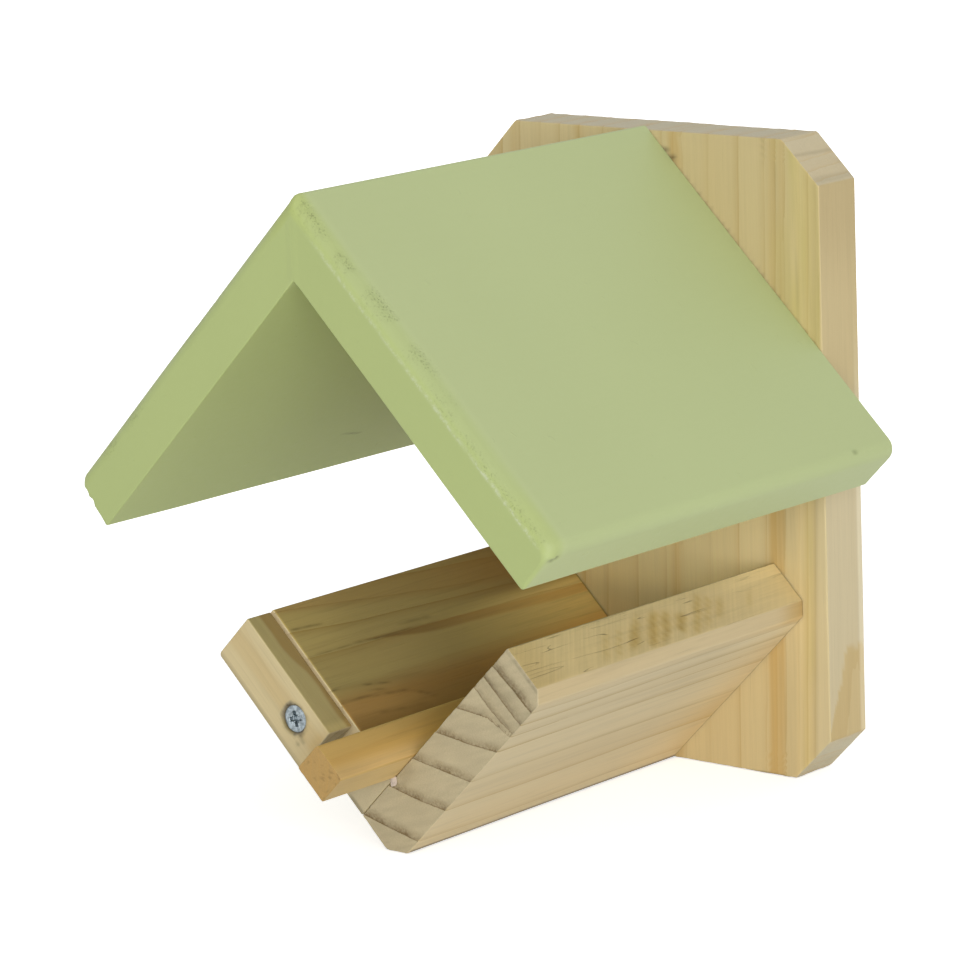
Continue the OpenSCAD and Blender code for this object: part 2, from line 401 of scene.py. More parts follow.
def wood_material(name, colours, keys, line=0.6, fade=3.0, banding=0.3, chatter=0.0, end_dark=0.7, figure=1.0):
    """Softwood: growth rings, bands of heartwood, fibres, resin lines, end grain and saw chatter.

    The ring number, the width of the ring and the place along the grain in millimetres come from the piece's
    own attributes. A ring darkens towards its outer line, and each ring draws its own strength and tint. The
    keys name the colours of early wood, late wood, heartwood, end grain and its grooves.
    """
    early, late, stain, end, groove = (opaque(getattr(colours, key)) for key in keys.split())
    material, start = new_material(name)
    grain = start.attribute("grain", True)
    noise = grain.noises(WOOD_NOISE)
    ring, pitch, ending, sawn, soil, tone, tint, lime, pale = (
        start.attribute(key) for key in ("ring", "pitch", "ending", *WOOD_VALUES))
    count = ring + (noise.wander - 0.5) * 2.4 * (1.0 - 0.8 * ending) / pitch
    number = count.floor()
    gap = (1.0 - (count - number)) * pitch
    late_wood = gap.fall(0.0, 0.8) * 0.45 + gap.fall(0.0, fade) * 0.55
    late_wood = late_wood * (0.30 + 0.70 * number.chance())
    base = (late_wood * line * (0.5 + noise.cloud)).blend(early, late)
    share = tint + (number + 17.0).chance() * banding + (noise.cloud - 0.5) * banding
    base = share.rise(0.0, 1.0).blend(base, stain)
    base = lime.blend(base, opaque(colours.sap))
    base = pale.blend(base, opaque(colours.pale))
    streaky = figure - sawn * (figure * 0.65)
    resin = noise.resin.rise(0.72, 0.80)
    base = base.shade(
        1.01 + (noise.fibre - 0.5) * 0.16 * streaky + (noise.hair - 0.5) * 0.06 - resin * 0.12 * streaky)
    base = base.shade(1.0 - noise.feather.rise(0.50, 0.66) * (figure - 0.6) * 0.16)
    torn = noise.torn.rise(0.34, 0.64)
    patch = noise.patch.rise(0.36, 0.62)
    band = gap.fall(0.0, fade * 1.5) * (0.30 + 0.55 * torn) * (0.60 + 0.70 * patch) * end_dark
    band = band * (0.40 + 0.60 * pitch.rise(3.0, 10.0))
    end_wood = (band + gap.fall(0.0, 0.55) * end_dark * 0.58).blend(end, groove)
    base = ending.blend(base, end_wood.shade(0.84 + noise.pores * 0.32))
    broken = noise.broken.rise(0.47, 0.56)
    crack = (noise.strokes - 0.5).size().fall(0.002, 0.011) * broken * sawn * chatter
    base = base.shade(1.0 + (noise.bars - 0.5) * sawn * chatter * 0.45)
    base = base.shade(1.0 - crack * 0.52)
    # Tone lightens or darkens the wood; on several pieces it is painted light and painted shade. Soil darkens
    # it, for real soil and for painted shade.
    base = base.shade(1.0 + tone)
    base = soil.blend(base, base.shade(0.30))
    rough = 0.62 + noise.fibre * 0.16 + ending * 0.12
    height = noise.fibre * 0.5 + noise.hair * 0.25 - late_wood * 0.25
    height = height + noise.pores * ending * 0.8 + noise.bars * sawn * 0.7 - crack
    close_material(start, base, rough, height, relief=0.00016, Specular_IOR_Level=0.30)
    return material


def paint_material(name, colours):
    """Satin paint over sawn wood: soft clouds, raised dust, yellower worn edges, dark pits and chips, painted
    light and shade round the front edge and painted highlights on raised grit.
    """
    material, start = new_material(name)
    noise = start.place().stretch(MM, MM, MM).noises(PAINT_NOISE)
    edge, torn, chip, rubbed, yellow, lift, dust = (
        start.attribute(key) for key in ("edge", "torn", "chip", "rubbed", "yellow", "lift", "dust"))
    base = dust.blend(opaque(colours.paint), opaque(colours.paint_dust))
    # The worn edge colour, then painted light and shade round the front edge
    base = edge.blend(base, opaque(colours.paint_edge)).shade(1.0 + lift)
    yellowed = opaque(colours.paint_edge, (0.99, 0.98, 0.72))
    base = (yellow * noise.cloud.rise(0.35, 0.65)).blend(base, yellowed)
    base = (rubbed * (0.12 + noise.fleck.rise(0.44, 0.58) * 0.36)).blend(base, opaque(colours.paint_dry))
    base = base.shade(0.975 + noise.cloud * 0.035 + noise.streak * 0.015)
    spot = noise.grit.rise(0.57, 0.66) * torn
    # Painted highlights on the raised grit among the pits, which also rise as bumps
    bright = noise.grit.fall(0.33, 0.40) * torn
    base = (spot * 0.50 + chip).blend(base, opaque(colours.paint_pit))
    base = base.shade(1.0 + bright * 0.15)
    rough = 0.46 + noise.peel * 0.10 + torn * 0.10
    speck = noise.dust.rise(0.80, 0.84)
    height = noise.peel * 0.30 + noise.streak * 0.12 + speck * 0.4 + (bright - spot) * 1.4
    close_material(start, base, rough, height, relief=0.00012, Specular_IOR_Level=0.4)
    return material


def metal_material(name, tone, rough_low, rough_high):
    """Plated metal with fine cloudy roughness and faint scuffs."""
    material, start = new_material(name)
    noise = start.place().stretch(MM, MM, MM).noises(METAL_NOISE)
    base = noise.cloud.rise(0.35, 0.65).blend(opaque(tone, (0.50, 0.50, 0.50)), opaque(tone))
    rough = rough_low + noise.cloud * (rough_high - rough_low)
    close_material(start, base, rough, noise.scuff, relief=0.00003, Metallic=1.0)
    return material


def glue_material(name, tone):
    """Dried glue: off white, glossy, a little uneven."""
    material, start = new_material(name)
    cloud = start.place().stretch(MM, MM, MM).noises(GLUE_NOISE).cloud
    base = cloud.rise(0.35, 0.75).blend(opaque(tone), opaque(tone, (0.72, 0.72, 0.72)))
    close_material(start, base, 0.32 + cloud * 0.2, cloud, relief=0.0002)
    return material


def eased(count, ease=0.9):
    """Fractions from 0 to 1, close together at both ends: t less ease times sin(2 pi t) over 2 pi."""
    t = np.linspace(0.0, 1.0, count)
    return t - ease * np.sin(2.0 * np.pi * t) / (2.0 * np.pi)


def lattice(place, seed):
    """Smooth noise from -1 to 1: hashed values on a unit lattice, blended with t t (3 - 2 t)."""
    cell = np.floor(place).astype(np.int64)
    t = place - cell
    t = t * t * (3.0 - 2.0 * t)
    total = np.zeros(len(place))
    for dx, dy, dz in np.ndindex(2, 2, 2):
        mixed = np.sum((cell + (dx, dy, dz)) * HASH_AXES, 1) + seed * HASH_SEED
        mixed = (mixed ^ (mixed >> 13)) * HASH_MIX
        mixed = mixed ^ (mixed >> 16)
        value = (mixed & 0xFFFF) / 32767.5 - 1.0
        weight = (t[:, 0] if dx else 1.0 - t[:, 0]) * (t[:, 1] if dy else 1.0 - t[:, 1])
        total += value * weight * (t[:, 2] if dz else 1.0 - t[:, 2])
    return total


def speckle(seed, *place):
    """The same noise at places given by one to three coordinates."""
    return lattice(np.stack(np.broadcast_arrays(*place, *[0.0] * (3 - len(place))), 1), seed)


def warp(point, seed, height):
    """Slow unevenness of a planed face."""
    return height * lattice(point * 0.035, seed)


def smooth(value, low, high):
    """Smooth step from 0 at low to 1 at high."""
    t = np.clip((value - low) / (high - low), 0.0, 1.0)
    return t * t * (3.0 - 2.0 * t)


def fall(value, low, high):
    """Smooth step from 1 at low to 0 at high."""
    return 1.0 - smooth(value, low, high)


def bump(value, low, high, soft):
    """1 between low and high, 0 outside, with soft flanks."""
    return smooth(value, low - soft, low + soft) * fall(value, high - soft, high + soft)


def hill(offset, wide):
    """Bell curve: e to the power of minus the square of offset over wide."""
    return np.exp(-(offset / wide) ** 2)


def corner_at(number):
    """Row of a dense outline at the middle of a corner's arc."""
    return number * (ARC + 1) + ARC // 2


def middle_after(number):
    """Row of a dense outline at the middle of the edge that follows a corner."""
    return number * (ARC + 1) + ARC


class Section:
    """Convex cross section of a board, counter-clockwise seen from the front.

    Each edge has the direction that it faces in degrees and a point (x, z) on it; corner k joins edge k to
    the next edge with an arc. Four rows of the outline split it into a long side, a short side, and the two
    opposite ones, so that the ends of the board can be filled from side to side. The far and the near end are
    softened by an inset for each edge and a depth for each corner.
    """

    def __init__(self, edges, rounds, splits, counts, far, near):
        self.facing = np.radians([edge[0] for edge in edges])
        self.normal = np.stack([np.cos(self.facing), np.sin(self.facing)], 1)
        self.reach = np.sum(self.normal * np.array([edge[1] for edge in edges]), 1)
        self.rounds = np.array(rounds, float)
        self.splits = splits
        self.counts = counts
        self.far, self.near = ([np.broadcast_to(np.array(size, float), self.reach.shape) for size in end]
                               for end in (far, near))

    def outline(self, inset, bend):
        """Rows of x, z, normal x, normal z and end radius round the section, each edge moved in by its inset.

        A corner is where two neighbouring edges meet. Its arc is a circle that touches both, and its normals
        swing from one facing to the next.
        """
        after = np.roll(self.normal, -1, 0)
        reach = self.reach - inset
        reach_after = np.roll(reach, -1)
        cross = self.normal[:, 0] * after[:, 1] - self.normal[:, 1] * after[:, 0]
        corner = np.stack([reach * after[:, 1] - reach_after * self.normal[:, 1],
                           self.normal[:, 0] * reach_after - after[:, 0] * reach], 1) / cross[:, None]
        share = np.linspace(0.0, 1.0, ARC)
        turn = np.mod(np.roll(self.facing, -1) - self.facing, 2.0 * np.pi)
        swing = self.facing[:, None] + turn[:, None] * share
        spoke = np.stack([np.cos(swing), np.sin(swing)], 2)
        lean = (self.normal + after) / (1.0 + np.sum(self.normal * after, 1))[:, None]
        arc = (corner - lean * self.rounds[:, None])[:, None] + self.rounds[:, None, None] * spoke
        middle = 0.5 * (arc[:, -1] + np.roll(arc[:, 0], -1, 0))
        radius = np.repeat(bend[:, None], ARC, 1)
        between = 0.5 * (bend + np.roll(bend, -1))
        rows = np.concatenate([np.concatenate([arc, spoke, radius[:, :, None]], 2),
                               np.concatenate([middle, after, between[:, None]], 1)[:, None]], 1)
        return rows.reshape(-1, 5)

    def sides(self, inset, bend):
        """The four sides as evenly numbered rows, spaced by arc length and closer together at the corners."""
        rows = self.outline(inset, bend)
        found = []
        for number in range(4):
            first, last = self.splits[number], self.splits[(number + 1) % 4]
            run = np.arange(first, last + 1 if last > first else last + 1 + len(rows)) % len(rows)
            part = rows[run]
            along = np.append(0.0, np.cumsum(np.linalg.norm(np.diff(part[:, :2], axis=0), axis=1)))
            wanted = eased(self.counts[number % 2]) * along[-1]
            found.append(np.stack([np.interp(wanted, along, part[:, c]) for c in range(5)], 1))
        return found

    def end(self, inset, bend, place, way):
        """Rings of rows, depth and tilt out to an end at a place, and the four sides of the end's face.

        An end follows a quarter circle, moving in by r (1 - cos a) while it moves out by r (1 - sin a) less
        than the place. The way is 1 for the far end and -1 for the near end.
        """
        rings = []
        for turn in np.linspace(0.0, np.pi / 2.0, BEND):
            sides = self.sides(inset * (1.0 - np.cos(turn)), bend)
            rows = np.concatenate([side[:-1] for side in sides])
            rings.append((rows, place - way * rows[:, 4] * (1.0 - np.sin(turn)), way * np.sin(turn)))
        return rings, sides


class Skin:
    """Points, outward normals and faces of a board, with the point numbers of its two ends."""

    def __init__(self):
        self.point = np.zeros((0, 3))
        self.normal = np.zeros((0, 3))
        self.faces = []
        self.ends = {}

    def add(self, point, normal):
        """Adds points and gives their numbers."""
        first = len(self.point)
        self.point = np.concatenate([self.point, point])
        self.normal = np.concatenate([self.normal, normal])
        return first + np.arange(len(point))

    def strip(self, first, second, flip=False):
        """Closed band of faces between two loops of point numbers."""
        quads = np.stack([first, np.roll(first, -1), np.roll(second, -1), second], 1)
        self.faces.append(quads[:, ::-1] if flip else quads)

    def fill_ends(self):
        """Adds the faces of both ends, without the cells that a hole has taken."""
        for name, (grid, keep) in self.ends.items():
            quads = np.stack([grid[:-1, :-1], grid[:-1, 1:], grid[1:, 1:], grid[1:, :-1]], 2)[keep]
            self.faces.append(quads if name == "far" else quads[:, ::-1])

    def swell(self, height):
        """Moves each point out along its normal."""
        self.point = self.point + self.normal * height[:, None]

    def axes(self):
        """Width x, depth from the wall and height z of each point."""
        return self.point[:, 0], -self.point[:, 1], self.point[:, 2]

    def slanted(self):
        """Place in the tray's own axes: s up the right face, u up the left face, and depth from the wall."""
        x, z = self.point[:, 0], self.point[:, 2] - VEE_Z
        return (x + z) * HALF, (z - x) * HALF, -self.point[:, 1]

    def facing_right(self):
        """How far the surface faces up the right face of the tray."""
        return self.normal[:, 0] * HALF + self.normal[:, 2] * HALF


def prism(section, near, far, stations):
    """Board with soft edges: a section carried along the depth from near to far.

    Between the ends the section is constant. Each end is filled from its four sides: the sum of the two
    blends between opposite sides, less the blend of the four corners.
    """
    skin = Skin()
    near_rings, near_sides = section.end(*section.near, near, -1.0)
    far_rings, far_sides = section.end(*section.far, far, 1.0)
    rows, first, last = near_rings[0][0], near_rings[0][1], far_rings[0][1]
    rings = near_rings[::-1]
    rings += [(rows, first * (1.0 - share) + last * share, 0.0) for share in eased(stations, ease=0.6)[1:-1]]
    rings += far_rings
    loops = []
    for rows, depth, tilt in rings:
        level = math.sqrt(max(0.0, 1.0 - tilt * tilt))
        loops.append(skin.add(np.stack([rows[:, 0], -depth, rows[:, 1]], 1),
                              np.stack([rows[:, 2] * level, np.full(len(rows), -tilt), rows[:, 3] * level], 1)))
    for one, two in zip(loops[:-1], loops[1:]):
        skin.strip(one, two)
    for name, loop, four, depth, face in (("near", loops[0], near_sides, near, 1.0),
                                          ("far", loops[-1], far_sides, far, -1.0)):
        across, up = len(four[0]), len(four[1])
        u = eased(across)[None, :, None]
        v = eased(up)[:, None, None]
        low, right = four[0][None, :, :2], four[1][:, None, :2]
        top, left = four[2][::-1][None, :, :2], four[3][::-1][:, None, :2]
        fill = (1 - v) * low + v * top + (1 - u) * left + u * right
        fill = fill - (1 - u) * (1 - v) * low[:, :1] - u * (1 - v) * low[:, -1:]
        fill = fill - (1 - u) * v * top[:, :1] - u * v * top[:, -1:]
        inner = fill[1:-1, 1:-1].reshape(-1, 2)
        number = skin.add(np.stack([inner[:, 0], np.full(len(inner), -depth), inner[:, 1]], 1),
                          np.tile([0.0, face, 0.0], (len(inner), 1)))
        grid = np.empty((up, across), int)
        grid[1:-1, 1:-1] = number.reshape(up - 2, across - 2)
        grid[0] = loop[:across]
        grid[:, -1] = loop[across - 1:across - 1 + up]
        grid[-1, ::-1] = loop[across + up - 2:2 * across + up - 2]
        grid[::-1, 0] = np.append(loop[2 * across + up - 3:], loop[0])
        skin.ends[name] = [grid, np.ones((up - 1, across - 1), bool)]
    return skin


def open_cells(skin, end, x, z, reach):
    """Takes the cells round a point out of an end, and gives the loop of point numbers round the gap."""
    grid, keep = skin.ends[end]
    place = skin.point[grid]
    row, column = np.unravel_index(np.argmin((place[..., 0] - x) ** 2 + (place[..., 2] - z) ** 2), grid.shape)
    middle = place[row, column]
    wide = math.ceil(reach / np.linalg.norm(place[row, column + 1] - middle))
    high = math.ceil(reach / np.linalg.norm(place[row + 1, column] - middle))
    keep[row - high:row + high, column - wide:column + wide] = False
    box = grid[row - high:row + high + 1, column - wide:column + wide + 1]
    return np.concatenate([box[0, :-1], box[:-1, -1], box[-1, :0:-1], box[:0:-1, 0]])


def drill(skin, x, z, reach, steps, start_end, last_end=None):
    """Round hole: rings of the given radius and depth, each point on the spoke through its place on the gap.

    Two more rings lie about a third and two thirds of the way between a gap and its mouth. A hole without a
    last end closes in one point.
    """
    loop = open_cells(skin, start_end, x, z, reach)
    flip = start_end == "near"
    edge = skin.point[loop]
    spoke = edge[:, [0, 2]] - (x, z)
    spoke = spoke / np.linalg.norm(spoke, axis=1)[:, None]
    rings = [np.stack([x + r * spoke[:, 0], np.full(len(loop), -depth), z + r * spoke[:, 1]], 1)
             for r, depth in steps]
    inward = np.stack([-spoke[:, 0], np.zeros(len(loop)), -spoke[:, 1]], 1)
    facing = skin.normal[loop]
    numbers = [loop] + [skin.add(edge + (rings[0] - edge) * share, facing) for share in (0.35, 0.7)]
    numbers += [skin.add(ring, inward) for ring in rings]
    if last_end:
        other = open_cells(skin, last_end, x, z, reach)
        edge, facing = skin.point[other], skin.normal[other]
        numbers += [skin.add(rings[-1] + (edge - rings[-1]) * share, facing) for share in (0.3, 0.65)] + [other]
    for one, two in zip(numbers[:-1], numbers[1:]):
        skin.strip(one, two, flip)
    if not last_end:
        pole = skin.add(np.array([[x, -steps[-1][1], z]]), np.array([[0.0, -1.0, 0.0]]))
        last = numbers[-1]
        fan = np.stack([last, np.roll(last, -1), np.full(len(last), pole)], 1)
        skin.faces.append(fan[:, ::-1] if flip else fan)


def turned(rings, poles):
    """Points and faces of rings of points round an axis, closed by a pole at each end."""
    number = np.arange(rings[..., 0].size).reshape(rings.shape[:2])
    after = np.roll(number, -1, 1)
    quads = np.stack([number[1:], after[1:], after[:-1], number[:-1]], 2).reshape(-1, 4)
    pole = np.full(number.shape[1], number.size)
    crown = np.stack([after[0], pole, number[0]], 1)
    tip = np.stack([pole + 1, after[-1], number[-1]], 1)
    return np.concatenate([rings.reshape(-1, 3), poles]), [quads, crown, tip]


def make_piece(name, point, faces, values, material, body, nodes):
    """Mesh object at the origin with its own attributes, finish, body and the nodes that it stands for."""
    mesh = bpy.data.meshes.new(name)
    mesh.from_pydata((point / MM).tolist(), [], [face for part in faces for face in part.tolist()])
    mesh.validate()
    for key, value in values.items():
        vector = value.ndim == 2
        layer = mesh.attributes.new(key, "FLOAT_VECTOR" if vector else "FLOAT", "POINT")
        layer.data.foreach_set("vector" if vector else "value", value.astype(np.float32).ravel())
    mesh.shade_smooth()
    mesh.set_sharp_from_angle(angle=SHARP_TURN)
    mesh.materials.append(material)
    piece = bpy.data.objects.new(name, mesh)
    bpy.context.scene.collection.objects.link(piece)
    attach(piece, body)
    if nodes:
        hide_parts(*nodes)


def at_slant(s, u):
    """Point (x, z) of the tray's own axes."""
    return (s - u) * HALF, VEE_Z + (s + u) * HALF


def count_rings(place, lines):
    """Ring number and ring width at each place, for lines that each place has in rising order."""
    width = np.diff(lines, axis=1)
    number = np.sum(np.clip((place[:, None] - lines[:, :-1]) / width, 0.0, 1.0), 1)
    inside = np.minimum(number.astype(int), width.shape[1] - 1)
    return number, width[np.arange(len(place)), inside]


def log_rings(across, thick, along, pith, tilt, spacing, seed):
    """Ring number: distance from a leaning pith line over the ring spacing, with slow noise along the grain."""
    side = across - pith[0] - tilt[0] * along
    deep = thick - pith[1] - tilt[1] * along
    slow = speckle(seed, along * 0.02, across * 0.035, thick * 0.035)
    return (np.hypot(side, deep) + slow * spacing * 0.45) / spacing


def wood_look(skin, grain, ring, pitch, axis):
    """Attributes that the wood finish reads; the ends are where the surface faces along the grain."""
    ending = smooth(np.abs(skin.normal @ np.array(axis)), 0.5, 0.85)
    return SimpleNamespace(grain=grain, ring=ring, pitch=np.broadcast_to(pitch, ring.shape), ending=ending,
                           **{key: np.zeros(len(ring)) for key in WOOD_VALUES})


class BoardOperator(bpy.types.Operator):
    """Base of the operators that make pieces."""

    bl_options = {"REGISTER", "UNDO"}

    @staticmethod
    def settings(context):
        return context.scene.jar_holder_sizes, context.scene.jar_holder_colours


class JARHOLDER_OT_back_board(BoardOperator):
    """Makes the back board with its cut corners, screw holes and wall hole."""

    bl_idname = "jar_holder.back_board"
    bl_label = "Back Board"

    def execute(self, context):
        sizes, colours = self.settings(context)
        skin = self.shape(sizes.planed_edge * MM)
        look = self.looks(skin)
        tear = look.ending * lattice(skin.point * 0.5, 3) * 0.12
        skin.swell(warp(skin.point, 5, 0.08) + tear - 0.13 * (look.ending > 0.3) - 0.08)
        wood = wood_material("back_board_pine", colours, "back_early back_late back_stain back_end back_late",
                             line=0.5, fade=3.2, banding=0.24, end_dark=0.45, figure=0.8)
        make_piece("back_board_wood", skin.point, skin.faces, vars(look), wood, "holder",
                   ["back_board"])
        return {"FINISHED"}

    def shape(self, soft):
        """Eight-sided board with a countersunk hole for each screw and a plain one for the wall."""
        side, low, high = BACK_HIGH[0], BACK_LOW[2], BACK_HIGH[2]
        below, above = low + CORNER_CUT, high - CORNER_CUT
        edges = [(270, (0, low)), (315, (side, below)), (0, (side, 0)), (45, (side, above)),
                 (90, (0, high)), (135, (-side, above)), (180, (-side, 0)), (225, (-side, below))]
        splits = [middle_after(number) for number in (6, 0, 2, 4)]
        section = Section(edges, [soft] * 8, splits, counts=(110, 150), far=(soft, soft), near=(soft, soft))
        skin = prism(section, 0.0, WALL_TO_FRONT, stations=22)
        room, lip = 0.1, 0.5
        steps = [(HEAD_MOUTH, 0.0), (HEAD_MOUTH - lip, lip), (SHANK_R + room, HEAD_MOUTH - SHANK_R - room),
                 (SHANK_R + room, SCREW_HOLE_DEPTH)]
        for x, z in ROOF_SCREWS + TRAY_SCREWS:
            drill(skin, x, z, SCREW_GAP, steps, "near")
        hole, rim = WALL_HOLE_R, 0.3
        steps = [(hole + rim, WALL_TO_FRONT), (hole, WALL_TO_FRONT - rim), (hole, WALL_TO_FRONT * 0.5),
                 (hole, rim), (hole + rim, 0.0)]
        drill(skin, 0.0, 0.0, WALL_GAP, steps, "far", "near")
        skin.fill_ends()
        return skin

    def looks(self, skin):
        """Upright grain, bands of heartwood and sap, a stained right edge, pale cut corners, soil, and painted
        light and shade.
        """
        x, depth, z = skin.axes()
        lean = x - 0.026 * z + 0.03 * (WALL_TO_FRONT - depth)
        ring, pitch = count_rings(lean, np.broadcast_to(BACK_LINES, (len(x), len(BACK_LINES))))
        look = wood_look(skin, np.stack([z, x, depth], 1), ring, pitch, (0, 0, 1))
        look.ending = np.maximum(look.ending, smooth(np.abs(skin.normal[:, 2]), 0.35, 0.65))
        front = smooth(-skin.normal[:, 1], 0.5, 0.9)
        right = smooth(skin.normal[:, 0], 0.8, 0.95)
        high_up = smooth(z, -45.0, 5.0)
        low_down = 1.0 - high_up
        # Heartwood and sap on the front
        look.tint = front * ((0.55 - 0.35 * high_up) * bump(lean, 43.4, 49.0, 0.8)
                             + 0.45 * bump(lean, 7.5, 11.5, 1.0) + 0.25 * bump(lean, -28.0, -24.5, 1.0)
                             + 0.3 * bump(lean, -53.0, -50.0, 1.0))
        look.tint += 0.25 * front * smooth(lean, 60.4, 61.4) * high_up
        broken = 0.7 + 0.6 * speckle(7, z * 0.06, x * 0.3)
        look.lime = broken * front * (0.44 * high_up * smooth(lean, 40.0, 54.0) * fall(lean, 61.5, 62.3)
                                      + 0.20 * bump(lean, 56.0, 60.0, 1.0) * low_down)
        # Right edge: a stained patch with a ragged border at the foot, light wood above it
        ragged = -101.0 - 2.7 * np.maximum(0.0, depth - 9.0) + 1.6 * speckle(9, depth * 0.5, z * 0.2)
        patch = right * fall(z - ragged, -0.8, 0.8)
        light = right * smooth(z - ragged, -0.8, 0.8) * fall(z, -45.0, -15.0)
        wall_strip = right * low_down * fall(depth, 2.0, 3.2)
        look.tint += 0.25 * patch + right * (0.12 * smooth(z, -45.0, -15.0) + 0.10 * smooth(z, 0.0, 30.0))
        look.pale = 0.55 * light + 0.25 * front * smooth(lean, 60.4, 61.8) * fall(z, -60.0, -30.0)
        look.pale += 0.5 * wall_strip
        look.tone = -0.14 * right + 0.06 * patch + 0.04 * light - 0.08 * right * smooth(z, 0.0, 30.0)
        look.tone += 0.14 * wall_strip
        # Lighter and darker parts of the front; the lift low down, in the shade of the roof and the tray, is
        # painted light
        look.tone += front * (0.08 - 0.16 * smooth(z, -40.0, 10.0) * smooth(x, -20.0, 5.0)
                              + 0.05 * bump(z, -98.0, -52.0, 8.0)
                              + 0.35 * bump(z, -88.0, -52.0, 5.0) * fall(x, 34.0, 48.0)
                              - 0.03 * fall(z, -116.0, -104.0) * bump(lean, 49.0, 57.0, 1.5)
                              + low_down * (0.10 * bump(lean, 53.0, 58.6, 1.0)
                                            - 0.10 * bump(lean, 59.8, 61.2, 0.5))
                              + 0.08 * high_up * bump(lean, 52.0, 59.0, 1.5))
        streaks = bump(lean, 41.4, 42.4, 0.5) + 0.7 * bump(lean, 45.6, 46.4, 0.5)
        look.tone -= 0.17 * front * high_up * streaks * (0.6 + 0.8 * speckle(8, z * 0.08, x * 0.4))
        # Upper and lower end and the cut corners; the faces turned down are lightened as painted light from the
        # floor
        upward = smooth(skin.normal[:, 2], 0.9, 0.98)
        downward = smooth(-skin.normal[:, 2], 0.4, 0.6)
        cut_corner = smooth(skin.normal[:, 2], 0.5, 0.65) * (1.0 - upward)
        look.tone += 0.22 * upward + 0.36 * downward - 0.02 * cut_corner
        look.ending -= 0.5 * cut_corner
        look.tint += 0.15 * cut_corner
        look.pale += 0.40 * cut_corner
        look.soil = 0.20 * cut_corner * bump(np.abs(x), BACK_HIGH[0] - 2.2, BACK_HIGH[0] - 0.4, 0.5)
        look.soil += 0.22 * cut_corner * bump(np.abs(x) + 0.02 * depth, 54.2, 55.0, 0.35)
        # Painted shade: a shadow gap by the ridge and a contact shadow along the foot; also a crack, and a dark
        # line where the top of the roof meets the board
        gap = (x - 8.6) * HALF - (z - 44.0) * HALF
        look.soil += 0.9 * hill(x + z - RIDGE_Z - 0.5, 0.9) * bump(gap, -1.4, 3.4, 1.0) * front
        foot_shadow = fall(z - BACK_LOW[2], 0.35, 1.0)
        look.soil += 0.7 * front * foot_shadow * smooth(speckle(6, x * 0.12), -0.4, 0.2)
        crack = hill(lean - 53.8 + 0.06 * (z - 11.0), 0.35) * bump(z, -2.0, 19.0, 4.0)
        look.soil += 0.18 * crack * front
        gable = np.abs(x) + z - RIDGE_Z
        look.soil += 0.5 * front * bump(gable, -28.0, -1.0, 0.7) * bump(gable, -2.0, 0.2, 0.8)
        look.soil = np.clip(look.soil, 0.0, 1.0)
        return look


